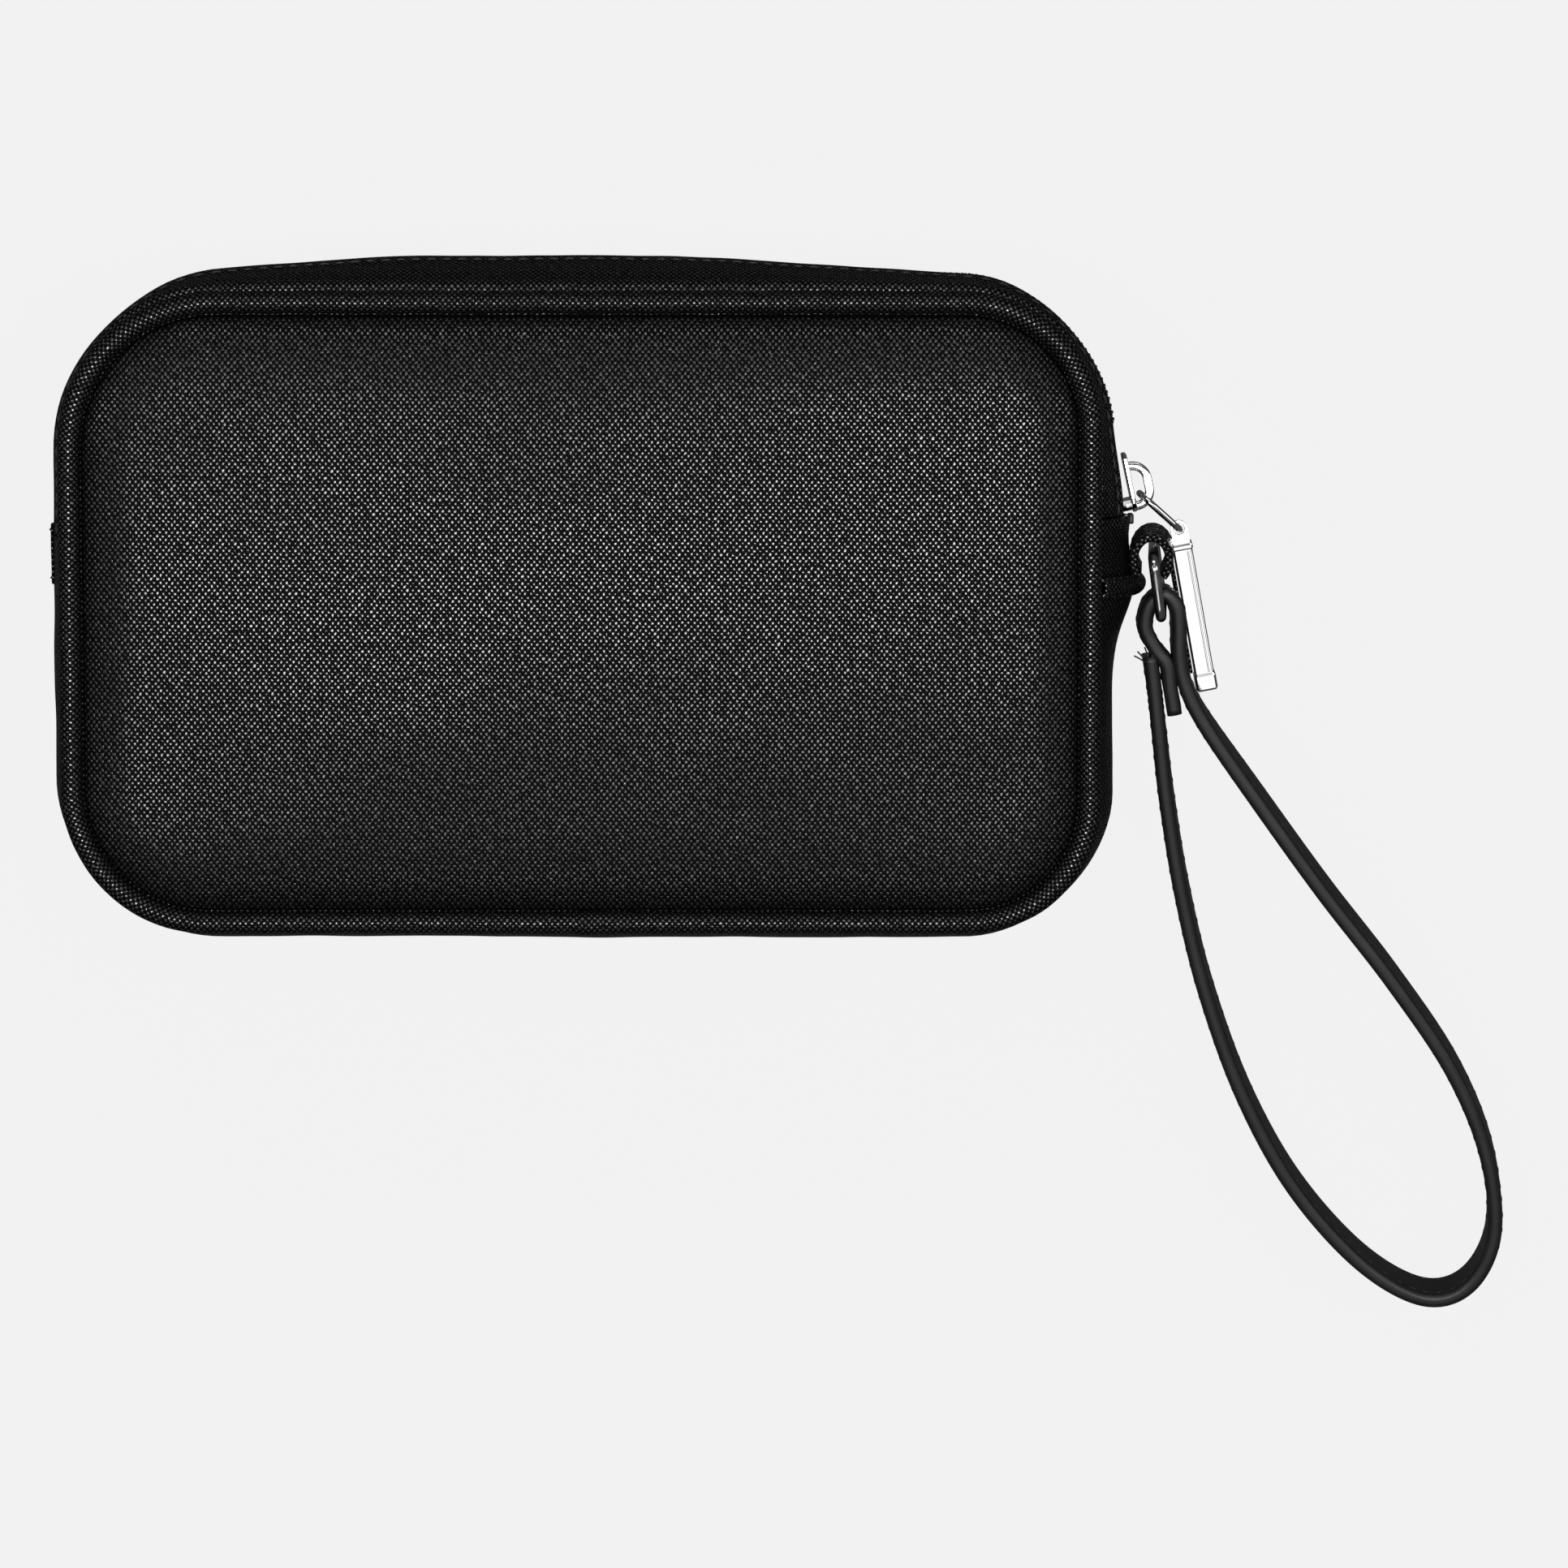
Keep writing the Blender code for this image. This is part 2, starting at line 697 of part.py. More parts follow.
def build_tab():
    """The rib sewn across the wall, and the loop that holds the ring."""
    rows = []
    parts = 8
    for step in range(parts + 1):
        z = RIB_FRONT_Z + (GUSSET_REAR_Z - 1.5 - RIB_FRONT_Z) * step / parts
        row = []
        for side in (-0.5, 0, 0.5):
            y = RIB_Y + side * RIB_HEIGHT
            row.append(wall_point(on_right(y), z, -(RIB_LEATHER + GAP + 0.1)))
        rows.append(row)
    sheet("tab_rib", rows, "saffiano", RIB_LEATHER)

    route = []
    first, last, steps = math.radians(198), math.radians(-62), 16
    for step in range(steps + 1):
        angle = first + (last - first) * step / steps
        x = LOOP_CENTRE[0] + LOOP_RADII[0] * math.cos(angle)
        y = LOOP_CENTRE[1] + LOOP_RADII[1] * math.sin(angle)
        route.append(strap_place(x, y))
    band("tab_loop", route, LOOP_WIDTH, LOOP_LEATHER, "saffiano")


def build_ring():
    """The oval wire ring that joins the tab and the strap."""
    top = strap_place(*RING_TOP_XY)
    way = (RING_BOTTOM - top).normalized()
    half = (RING_BOTTOM - top).length / 2
    centre = (RING_BOTTOM + top) / 2
    points = oval(centre, way, strap_axis(), half, RING_HALF_WIDTH, RING_CORNER, 3)
    tube("oval_ring", points, RING_WIRE, "dark_chrome", True, top)


def build_strap():
    """One long strap: a leg, the far bend, the other leg, a turn round the ring and a sewn end."""
    x, y = RING_BOTTOM.x, RING_BOTTOM.y
    near = STRAP_LAYERS
    knots = [
        (x - 2.6, y - 8.4),
        (x - 1.6, y - 15.0),
        (x - 0.4, y - 24.5),
        (x + 1.6, y - 40.0),
        (x + 5.1, y - 60.0),
        (x + 10.6, y - 82.0),
        (x + 19.4, y - 106.0),
        (x + 31.0, y - 127.0),
        (x + 46.0, y - 144.0),
        (x + 60.0, y - 152.0),
        (x + 70.0, y - 149.0),
        (x + 75.2, y - 137.0),
        (x + 73.0, y - 119.0),
        (x + 65.0, y - 100.0),
        (x + 51.5, y - 80.0),
        (x + 36.0, y - 60.0),
        (x + 21.5, y - 40.0),
        (x + 9.2, y - 22.5),
        (x + 5.4, y - 14.0),
        (x + 4.6, y - 8.0),
        (x + 3.9, y - 3.0),
        (x + 3.1, y + 1.2),
        (x + 0.2, y + 3.6),
        (x - 3.0, y + 1.6),
        (x - 3.6, y - 2.2),
        (x - 1.6, y - 6.6),
        (x + 1.0, y - 10.0),
        (x + 5.4 - near, y - 15.0),
        (x + 2.9, y - 20.6),
    ]
    route = smooth_route(knots, 6.0)
    band("wrist_strap", route, STRAP_WIDTH, STRAP_LEATHER, "strap_leather", RING_BOTTOM)


def main():
    """Clear the file and build every piece."""
    for old in list(bpy.data.objects):
        bpy.data.objects.remove(old, do_unlink=True)
    for name in (NAME, "cutters"):
        collection = bpy.data.collections.new(name)
        bpy.context.scene.collection.children.link(collection)
    build_front()
    build_rear()
    build_gusset()
    build_zip()
    build_zip_ends()
    build_slider()
    build_pull()
    build_tab()
    build_ring()
    build_strap()


main()
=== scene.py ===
"""Looks of the makeup bag: embossed leather case, piping, zip, chrome pull and wrist strap.

Lengths are millimetres unless a name says otherwise, and MM turns them into the frame's metres.
"""

import json
import math

import bmesh
import bpy
from mathutils import Matrix, Vector, noise


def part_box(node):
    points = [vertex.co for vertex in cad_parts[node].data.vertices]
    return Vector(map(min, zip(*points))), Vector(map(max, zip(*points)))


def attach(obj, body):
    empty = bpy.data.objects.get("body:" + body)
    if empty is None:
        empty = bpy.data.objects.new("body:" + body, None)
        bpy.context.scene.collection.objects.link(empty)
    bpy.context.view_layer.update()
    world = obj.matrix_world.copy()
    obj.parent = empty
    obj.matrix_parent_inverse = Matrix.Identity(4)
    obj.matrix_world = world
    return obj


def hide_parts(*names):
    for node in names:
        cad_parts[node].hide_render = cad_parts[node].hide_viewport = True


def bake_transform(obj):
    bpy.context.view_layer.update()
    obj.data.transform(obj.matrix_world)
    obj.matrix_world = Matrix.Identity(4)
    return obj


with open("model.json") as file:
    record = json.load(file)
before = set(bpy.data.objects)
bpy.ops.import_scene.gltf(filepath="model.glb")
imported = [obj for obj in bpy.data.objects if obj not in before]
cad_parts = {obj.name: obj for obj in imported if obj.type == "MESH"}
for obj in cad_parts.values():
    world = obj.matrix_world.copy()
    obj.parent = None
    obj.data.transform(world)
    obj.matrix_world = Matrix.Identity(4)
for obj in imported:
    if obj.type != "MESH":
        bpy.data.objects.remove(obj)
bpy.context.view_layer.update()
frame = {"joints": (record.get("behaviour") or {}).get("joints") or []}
MM = 0.001


def box_mm(node):
    """A CAD node's lowest and highest corners in millimetres."""
    low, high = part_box(node)
    return Vector(low) / MM, Vector(high) / MM


# The case's outline and depths, from the frame
PIPING_LOW, PIPING_HIGH = box_mm("front_piping")
PIPING_RADIUS = (PIPING_HIGH.z - PIPING_LOW.z) / 2
HALF_WIDTH = PIPING_HIGH.x - PIPING_RADIUS
HALF_HEIGHT = PIPING_HIGH.y - PIPING_RADIUS
FRONT_PIPING_Z = (PIPING_HIGH.z + PIPING_LOW.z) / 2
REAR_PIPING_Z = box_mm("rear_piping_lower")[1].z - PIPING_RADIUS
DEPTH = box_mm("rear_panel_lower")[1].z
GUSSET_LOW, GUSSET_HIGH = box_mm("bottom_gusset")
GUSSET_FRONT_Z, GUSSET_REAR_Z = GUSSET_LOW.z, GUSSET_HIGH.z
ZIP_Z = (box_mm("front_zip_teeth")[1].z + box_mm("rear_zip_teeth")[0].z) / 2

# Corner radii: top right, top left, bottom left, bottom right
CORNERS = (27.0, 31.0, 29.0, 26.0)

# Thicknesses of the sheets, and the room between neighbours
LEATHER = 1.2
FOAM = 2.0
LINING = 0.6
TAPE = 0.8
GAP = 0.35
PANEL_INSET = PIPING_RADIUS + GAP - 0.1

# How far the wall's crest stands out: at corners, at sides, on the top and beside the tab
CORNER_OUT = 4.8
SIDE_OUT = 5.8
TOP_CREST = 3.9
TOP_CREST_X = -6.0
TOP_CREST_REACH = 68.0
TAB_CREST = 4.6
TAB_CREST_Y = 6.0
TAB_CREST_REACH_UP = 28.0
TAB_CREST_REACH_DOWN = 11.0
INNER_SINK = 2.6

# The two panels: heights of their rims, and how they rise or fall from there
REAR_RIM_Z = 57.2
SHOULDER = 4.0
SHOULDER_REACH = 4.0
CROWN = DEPTH - REAR_RIM_Z - SHOULDER
FRONT_RIM_Z = 5.0
FRONT_FLAT_INSET = 9.0
PADDING_INSET = FRONT_FLAT_INSET + 0.5

# The zip: where its strips end on each side wall, and widths measured from its middle
ZIP_RIGHT_Y = 20.0
ZIP_LEFT_Y = 16.0
TAPE_HALF = 12.0
TAPE_EDGE = 1.9
TAPE_TUCK = 3.0
TAPE_SINK = INNER_SINK - 0.6
TEETH_START_Y = 39.0
EDGE_CLOSER = 6.5  # how much nearer the folded edges are to the coil along the top

# Places and directions of the pull, the ring, the strap and the slider, from the joints
JOINTS = {joint["name"]: joint for joint in frame["joints"]}

LINK_START = Vector(JOINTS["link_swing"]["pos_m"]) / MM
LINK_END = Vector(JOINTS["bar_swing"]["pos_m"]) / MM
RING_TOP = Vector(JOINTS["ring_swing"]["pos_m"]) / MM
RING_BOTTOM = Vector(JOINTS["strap_swing"]["pos_m"]) / MM
STRAP_AXIS = Vector(JOINTS["ring_swing"]["axis"]).normalized()
SLIDER_WAY = Vector(JOINTS["slider_travel"]["axis"]).normalized()
SLIDER_OUT = Vector((SLIDER_WAY.y, -SLIDER_WAY.x, 0))
UP = Vector((0, 0, 1))

# The leather's embossing: millimetres between knobs in a row, and between rows of a kind
SAFFIANO_ALONG = 1.28
SAFFIANO_ACROSS = 1.53


# ======== materials

LOOKS = {}  # every material, by the name of its look


class Shader:
    """A Principled material and short ways to add and join its nodes."""

    def __init__(self, name, colour, roughness, metallic=0.0, specular=0.5):
        self.material = LOOKS[name] = bpy.data.materials.new(name)
        self.material.use_nodes = True
        self.tree = self.material.node_tree
        self.principled = self.tree.nodes["Principled BSDF"]
        self.set("Base Color", (*colour, 1.0))
        self.set("Roughness", roughness)
        self.set("Metallic", metallic)
        self.set("Specular IOR Level", specular)
        self.material.diffuse_color = (*colour, 1.0)

    def feed(self, socket, value):
        """A constant on a socket, or a link into it."""
        if isinstance(value, bpy.types.NodeSocket):
            self.tree.links.new(value, socket)
        else:
            socket.default_value = value

    def set(self, socket, value):
        """Feed one of the shader's own sockets."""
        self.feed(self.principled.inputs[socket], value)

    def node(self, kind, fed=None, **settings):
        """A new node, with values for its sockets by name or number."""
        made = self.tree.nodes.new(kind)
        for key, value in settings.items():
            setattr(made, key, value)
        for socket, value in (fed or {}).items():
            self.feed(made.inputs[socket], value)
        return made

    def math(self, operation, *values):
        return self.node("ShaderNodeMath", dict(enumerate(values)), operation=operation).outputs[0]

    def weave(self):
        """The piece's own flat coordinates, in millimetres along and across it."""
        flat = self.node("ShaderNodeUVMap", uv_map="weave").outputs["UV"]
        split = self.node("ShaderNodeSeparateXYZ", {0: flat})
        return split.outputs[0], split.outputs[1], flat

    def place(self):
        return self.node("ShaderNodeTexCoord").outputs["Object"]

    def noise(self, vector, scale, detail=3.0, roughness=0.55):
        fed = {"Vector": vector, "Scale": scale, "Detail": detail, "Roughness": roughness}
        return self.node("ShaderNodeTexNoise", fed).outputs["Fac"]

    def mapped(self, value, low, high, to_low, to_high, shape="LINEAR"):
        fed = dict(enumerate((value, low, high, to_low, to_high)))
        return self.node("ShaderNodeMapRange", fed, interpolation_type=shape).outputs[0]

    def mixed(self, share, first, second):
        """A colour between two, by a share."""
        fed = {0: share, 6: (*first, 1.0), 7: (*second, 1.0)}
        return self.node("ShaderNodeMix", fed, data_type="RGBA").outputs[2]

    def bump(self, height, distance_mm, strength=1.0):
        fed = {"Strength": strength, "Distance": distance_mm * MM, "Height": height}
        return self.node("ShaderNodeBump", fed).outputs[0]

    def wave(self, phase):
        return self.math("COSINE", self.math("MULTIPLY", phase, 2 * math.pi))

    def ridge(self, phase, power=1.0):
        """Rounded ridges at whole numbers of a phase."""
        lifted = self.math("MULTIPLY_ADD", self.wave(phase), 0.5, 0.5)
        return self.math("POWER", lifted, power)

    def varied(self, socket, share, low, high):
        """A socket that runs from low to high with the middle range of a noise."""
        self.set(socket, self.mapped(share, 0.3, 0.7, low, high))


def saffiano():
    """Faux leather embossed with shiny knobs, where fine ridges cross on the slant."""
    made = Shader("saffiano", (0.006, 0.006, 0.0062), 0.3, specular=0.8)
    u, v, flat = made.weave()

    def wander(scale, reach):
        return made.math("MULTIPLY_ADD", made.noise(flat, scale, 2.0), 2 * reach, -reach)

    drift, other, fine = wander(0.30, 0.22), wander(0.22, 0.20), wander(0.9, 0.22)
    along = made.math("MULTIPLY_ADD", u, 1 / SAFFIANO_ALONG, made.math("ADD", drift, fine))
    across = made.math("MULTIPLY_ADD", v, 1 / SAFFIANO_ACROSS, made.math("ADD", other, fine))
    rising = made.ridge(made.math("ADD", along, across), 4.0)
    falling = made.ridge(made.math("SUBTRACT", along, across), 4.0)
    lines = made.math("MAXIMUM", rising, falling)
    crossing = made.math("MULTIPLY", made.wave(along), made.wave(across))
    size = made.mapped(made.noise(flat, 0.7, 3.0, 0.7), 0.3, 0.7, 0.30, -0.36)
    top = made.math("ADD", size, 0.84)
    knobs = made.mapped(crossing, size, top, 0.0, 1.0, "SMOOTHSTEP")
    between = made.math("MULTIPLY", lines, made.math("SUBTRACT", 1.0, knobs))
    height = made.math("MULTIPLY_ADD", between, 0.2, knobs)
    height = made.math("MULTIPLY_ADD", made.noise(flat, 5.5), 0.06, height)
    # The knob tops are painted lighter than the valleys between them: a painted highlight standing in
    # for the knobs' glints, on top of their real shine.
    knob_share_painted_highlight = made.mapped(height, 0.15, 0.9, 0.0, 1.0)
    made.set("Base Color", made.mixed(knob_share_painted_highlight, (0.0016, 0.0016, 0.0018), (0.014, 0.014, 0.0144)))
    made.set("Roughness", made.mapped(knob_share_painted_highlight, 0.1, 0.9, 0.55, 0.2))
    made.set("Specular IOR Level", made.mapped(knob_share_painted_highlight, 0.05, 0.85, 0.03, 0.9))
    made.set("Normal", made.bump(height, 0.10))


def woven(name, dark, light, pitch, rough, height_mm, slanted=False):
    """A woven band or lining: crossing threads, upright or in slanted ribs."""
    made = Shader(name, light, rough, specular=0.3)
    u, v, flat = made.weave()
    if slanted:
        folded = made.math("PINGPONG", v, pitch * 5)
        phase = made.math("MULTIPLY_ADD", folded, 0.8 / pitch, made.math("DIVIDE", u, pitch))
        threads = made.ridge(phase)
        picks = made.ridge(made.math("DIVIDE", v, pitch * 0.7))
    else:
        threads = made.ridge(made.math("DIVIDE", u, pitch))
        picks = made.ridge(made.math("DIVIDE", v, pitch))
    height = made.math("MULTIPLY_ADD", picks, 0.4, made.math("MULTIPLY", threads, 0.6))
    fuzz = made.noise(flat, 4.0)
    height = made.math("MULTIPLY_ADD", fuzz, 0.35, height)
    # The colour is darker where the weave is low and lighter on the thread tops: painted shade between
    # the threads, with random tone from the fuzz.
    made.set("Base Color", made.mixed(made.mapped(height, 0.2, 1.2, 0.0, 1.0), dark, light))
    made.varied("Roughness", fuzz, rough - 0.08, rough + 0.08)
    made.set("Normal", made.bump(height, height_mm))
    made.set("Sheen Weight", 0.25)
    made.set("Sheen Roughness", 0.5)


def polished(name, colour, roughness):
    """Plated metal with faint handling marks."""
    made = Shader(name, colour, roughness, metallic=1.0)
    place = made.place()
    smudge = made.noise(place, 260.0, 4.0, 0.6)
    made.set("Roughness", made.mapped(smudge, 0.35, 0.7, roughness * 0.7, roughness * 1.7))
    made.set("Normal", made.bump(made.noise(place, 900.0, 2.0), 0.004, 0.5))


def smooth_leather(name, dark, light, rough, grain_mm, scale):
    """Matte leather or edge paint with a fine pebble."""
    made = Shader(name, light, rough, specular=0.4)
    flat = made.weave()[2]
    grain = made.noise(flat, scale, 4.0, 0.6)
    broad = made.noise(flat, 0.12, 2.0)
    fed = {"Vector": flat, "Scale": scale * 0.9}
    cells = made.node("ShaderNodeTexVoronoi", fed, feature="DISTANCE_TO_EDGE")
    pebble = made.mapped(cells.outputs["Distance"], 0.0, 0.25, 0.0, 1.0)
    height = made.math("MULTIPLY_ADD", grain, 0.5, made.math("MULTIPLY", pebble, 0.5))
    made.set("Base Color", made.mixed(made.mapped(broad, 0.3, 0.7, 0.0, 1.0), dark, light))
    made.varied("Roughness", grain, rough - 0.07, rough + 0.07)
    made.set("Normal", made.bump(height, grain_mm))


def thread_material():
    """Black sewing thread, twisted."""
    made = Shader("thread", (0.02, 0.02, 0.02), 0.55, specular=0.4)
    u, v, flat = made.weave()
    twist = made.ridge(made.math("MULTIPLY_ADD", u, 2.2, made.math("MULTIPLY", v, 2.0)))
    # The colour is darker in the grooves of the twist and lighter on its ridges: painted shade in the
    # grooves.
    made.set("Base Color", made.mixed(twist, (0.008, 0.008, 0.008), (0.045, 0.045, 0.046)))
    made.varied("Roughness", made.noise(flat, 6.0), 0.42, 0.62)
    made.set("Normal", made.bump(twist, 0.06))


def coil_material():
    """Nylon zip coil."""
    made = Shader("zip_coil", (0.018, 0.018, 0.018), 0.34)
    wear = made.noise(made.place(), 700.0)
    share = made.mapped(wear, 0.3, 0.7, 0.0, 1.0)
    made.set("Base Color", made.mixed(share, (0.008, 0.008, 0.008), (0.03, 0.03, 0.03)))
    made.varied("Roughness", wear, 0.26, 0.42)
    made.set("Normal", made.bump(wear, 0.02))


def floor_material():
    """Plain pale studio floor."""
    made = Shader("floor", (0.02, 0.02, 0.02), 0.9, specular=0.0)
    tone = made.noise(made.place(), 1.5, 2.0)
    made.set("Base Color", made.mixed(tone, (0.019, 0.019, 0.019), (0.021, 0.021, 0.021)))
    made.set("Emission Color", (1.0, 1.0, 1.0, 1.0))
    made.set("Emission Strength", 0.865)


saffiano()
woven("lining_fabric", (0.008, 0.008, 0.009), (0.03, 0.03, 0.032), 0.45, 0.8, 0.06)
woven("foam", (0.03, 0.03, 0.032), (0.09, 0.09, 0.095), 0.8, 0.95, 0.05)
woven("zip_tape", (0.004, 0.004, 0.0045), (0.026, 0.026, 0.027), 0.62, 0.62, 0.09, slanted=True)
coil_material()
polished("chrome", (0.78, 0.78, 0.79), 0.07)
polished("dark_chrome", (0.48, 0.48, 0.49), 0.16)
smooth_leather("strap_edge", (0.008, 0.008, 0.0083), (0.012, 0.012, 0.0124), 0.42, 0.012, 2.2)
smooth_leather("strap_face", (0.005, 0.005, 0.0053), (0.010, 0.010, 0.0105), 0.42, 0.05, 1.6)
thread_material()
floor_material()


# ======== outline and surfaces


def outline_runs():
    """Straights and corner arcs, anticlockwise from the middle of the right side."""
    here, found = Vector((HALF_WIDTH, 0)), []

    def straight_to(there):
        found.append(((there - here).length, here, (there - here).normalized()))

    for turn, (x, y) in enumerate(((1, 1), (-1, 1), (-1, -1), (1, -1))):
        radius, first = CORNERS[turn], turn * math.pi / 2
        centre = Vector((x * (HALF_WIDTH - radius), y * (HALF_HEIGHT - radius)))
        out = Vector((math.cos(first), math.sin(first))) * radius
        straight_to(centre + out)
        found.append((radius * math.pi / 2, centre, radius, first))
        here = centre + out.orthogonal()
    straight_to(Vector((HALF_WIDTH, 0)))
    return found


RUNS = outline_runs()
PERIMETER = sum(run[0] for run in RUNS)


def outline_at(distance):
    """The outline's point and outward normal at a distance along it."""
    left = distance % PERIMETER
    for run in RUNS:
        if left <= run[0] + 1e-9:
            break
        left -= run[0]
    if len(run) == 3:
        _, start, way = run
        return start + way * left, Vector((way.y, -way.x))
    _, centre, radius, first = run
    angle = first + left / radius
    normal = Vector((math.cos(angle), math.sin(angle)))
    return centre + normal * radius, normal


def on_right(y):
    """Distance along the outline to a height on its right side."""
    return y % PERIMETER


def on_left(y):
    """The same on its left side."""
    return sum(run[0] for run in RUNS[:4]) + (HALF_HEIGHT - CORNERS[1]) - y


def spaced(start, end, step):
    """Evenly spaced distances from start to end."""
    if end <= start:
        end += PERIMETER
    count = max(2, round((end - start) / step))
    return [start + (end - start) * i / count for i in range(count + 1)]


def soft_noise(x, y, z, scale_mm):
    return noise.noise(Vector((x, y, z)) / scale_mm)


def around_outline(step):
    """Evenly spaced distances once round the outline."""
    return spaced(0, PERIMETER, step)[:-1]


def beside_outline(distance, outward, z):
    """A place beside the outline, and the direction out of it."""
    point, normal = outline_at(distance)
    place = point + normal * outward
    return Vector((place.x, place.y, z)), normal.to_3d()


def crest_out(point, normal):
    """How far the wall's crest stands outside the piping's centre line."""
    squareness = 2 * (normal.x**4 + normal.y**4) - 1
    out = CORNER_OUT + (SIDE_OUT - CORNER_OUT) * squareness
    along = abs((point.x - TOP_CREST_X) / TOP_CREST_REACH)
    out += TOP_CREST * max(normal.y, 0) ** 2 * math.exp(-(along**3))
    along = point.y - TAB_CREST_Y
    fall = (along / TAB_CREST_REACH_UP) ** 3 if along > 0 else (along / TAB_CREST_REACH_DOWN) ** 2
    out += TAB_CREST * max(normal.x, 0) ** 2 * math.exp(-fall)
    return out


def wall_point(distance, z, sink=0.0, relief=1.0):
    """A point of the gusset's outer face, or one behind it.

    relief is the share of the dent above the rib and of the leather's soft unevenness.
    """
    point, normal = outline_at(distance)
    across = min(max((z - GUSSET_FRONT_Z) / (GUSSET_REAR_Z - GUSSET_FRONT_Z), 0), 1)
    arch = math.sin(math.pi * across)
    out = crest_out(point, normal) * arch
    out -= relief * 1.2 * max(normal.x, 0) ** 2 * arch * math.exp(-(((point.y - 14.5) / 5.5) ** 2))
    out += relief * arch * 0.45 * soft_noise(point.x, point.y, z, 26.0)
    out += relief * arch * 0.16 * soft_noise(point.x, point.y, z + 300, 9.0)
    place = point + normal * (out - sink)
    return Vector((place.x, place.y, z))


def wall_normal(distance, z):
    """The wall's outward direction."""
    here = wall_point(distance, z)
    along = wall_point(distance + 0.5, z) - here
    across = wall_point(distance, z + 0.5) - here
    return along.cross(across).normalized()


def rear_height(place, inset):
    """Height of the rear panel's outer face, with its soft hollows."""
    shoulder = SHOULDER * (1 - math.exp(-(inset - PANEL_INSET) / SHOULDER_REACH))
    crown = (1 - (place.x / HALF_WIDTH) ** 2) * (1 - (place.y / HALF_HEIGHT) ** 2)
    depth_in = 1 - math.exp(-(inset - PANEL_INSET) / 7.0)
    soft = 0.55 * soft_noise(place.x, place.y, 40.0, 48.0)
    soft += 0.16 * soft_noise(place.x, place.y, 90.0, 17.0)
    return REAR_RIM_Z + shoulder + CROWN * crown + depth_in * (soft - 0.3)


def front_height(_, inset):
    """Height of the front panel's outer face: flat, and turned up at the rim."""
    turn = max(0.0, (FRONT_FLAT_INSET - inset) / (FRONT_FLAT_INSET - PANEL_INSET))
    return FRONT_RIM_Z * (1 - math.sqrt(max(0.0, 1 - min(turn, 1.0) ** 2)))


# ======== mesh building

PANEL_STEP = 2.6  # between places round the panels' and the welts' rings


def new_mesh(name, bm, outward=False):
    """Turn a bmesh into a mesh, with all its faces turned outward if asked."""
    if outward:
        bmesh.ops.recalc_face_normals(bm, faces=bm.faces)
    mesh = bpy.data.meshes.new(name)
    bm.to_mesh(mesh)
    bm.free()
    return mesh


def new_piece(name, mesh, look, body, replaced=(), smooth=True):
    """Link a mesh as a piece, give it its material, and say what it rides on and stands for.

    A body of "fold" leaves the piece without a body, with its place baked into its mesh.
    """
    piece = linked(name, mesh)
    for one in (look,) if isinstance(look, str) else look:
        mesh.materials.append(LOOKS[one])
    if smooth:
        mesh.shade_smooth()
    if body == "fold":
        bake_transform(piece)
    else:
        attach(piece, body)
    if replaced:
        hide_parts(*replaced)
    return piece


def skin_mesh(name, rows, flats, closed=False, centre=None, flip=False, joined=False):
    """A grid of points as a surface with flat coordinates in millimetres.

    closed joins each row's end to its start, and joined the last row to the first. The flat
    coordinates have one more column or row there, so that a texture runs on without a jump.
    """
    bm = bmesh.new()
    layer = bm.loops.layers.uv.new("weave")
    grid = [[bm.verts.new(place * MM) for place in row] for row in rows]
    across, along = len(rows), len(rows[0])
    for j in range(across if joined else across - 1):
        for i in range(along if closed else along - 1):
            corners = ((j, i), (j, i + 1), (j + 1, i + 1), (j + 1, i))
            if flip:
                corners = corners[::-1]
            face = bm.faces.new([grid[a % across][b % along] for a, b in corners])
            for loop, (a, b) in zip(face.loops, corners):
                loop[layer].uv = flats[a][b]
    if centre is not None:
        middle = bm.verts.new(centre * MM)
        for i in range(along):
            corners = [(across - 1, i), (across - 1, i + 1)]
            ring = [grid[-1][i], grid[-1][(i + 1) % along], middle]
            uvs = [flats[a][b] for a, b in corners] + [(centre.x, centre.y)]
            if flip:
                ring, uvs = ring[::-1], uvs[::-1]
            face = bm.faces.new(ring)
            for loop, uv in zip(face.loops, uvs):
                loop[layer].uv = uv
    return new_mesh(name, bm)


def soften(piece, width, segments, steepest=40):
    """Round the edges that turn more than an angle in degrees."""
    rounded = piece.modifiers.new("edge", "BEVEL")
    rounded.width = width * MM
    rounded.segments = segments
    rounded.limit_method = "ANGLE"
    rounded.angle_limit = math.radians(steepest)


def thicken(piece, thickness, edge=0.0):
    """Solidify inwards, and round the cut edges."""
    solid = piece.modifiers.new("thickness", "SOLIDIFY")
    solid.thickness = thickness * MM
    solid.offset = -1.0
    if edge:
        soften(piece, edge, 2, 50)


def strip_piece(name, start, end, low, high, step, look, body, replaced, thickness, sink=0.0,
                lift=None, edge=0.25):
    """A strip of the wall between two depths, each a number or a function of the distance.

    lift(share across) raises the strip from the wall.
    """
    places = spaced(start, end, step)
    low, high = (z if callable(z) else (lambda s, z=z: z) for z in (low, high))
    count = max(3, round(abs(high(start) - low(start)) / 1.4))
    rows, flats = [], []
    for j in range(count + 1):
        share = j / count
        raised = lift(share) if lift else 0.0
        depths = [low(s) + (high(s) - low(s)) * share for s in places]
        rows.append([wall_point(s, z, sink - raised) for s, z in zip(places, depths)])
        flats.append([(s, z * 1.03) for s, z in zip(places, depths)])
    piece = new_piece(name, skin_mesh(name, rows, flats), look, body, replaced)
    thicken(piece, thickness, edge)


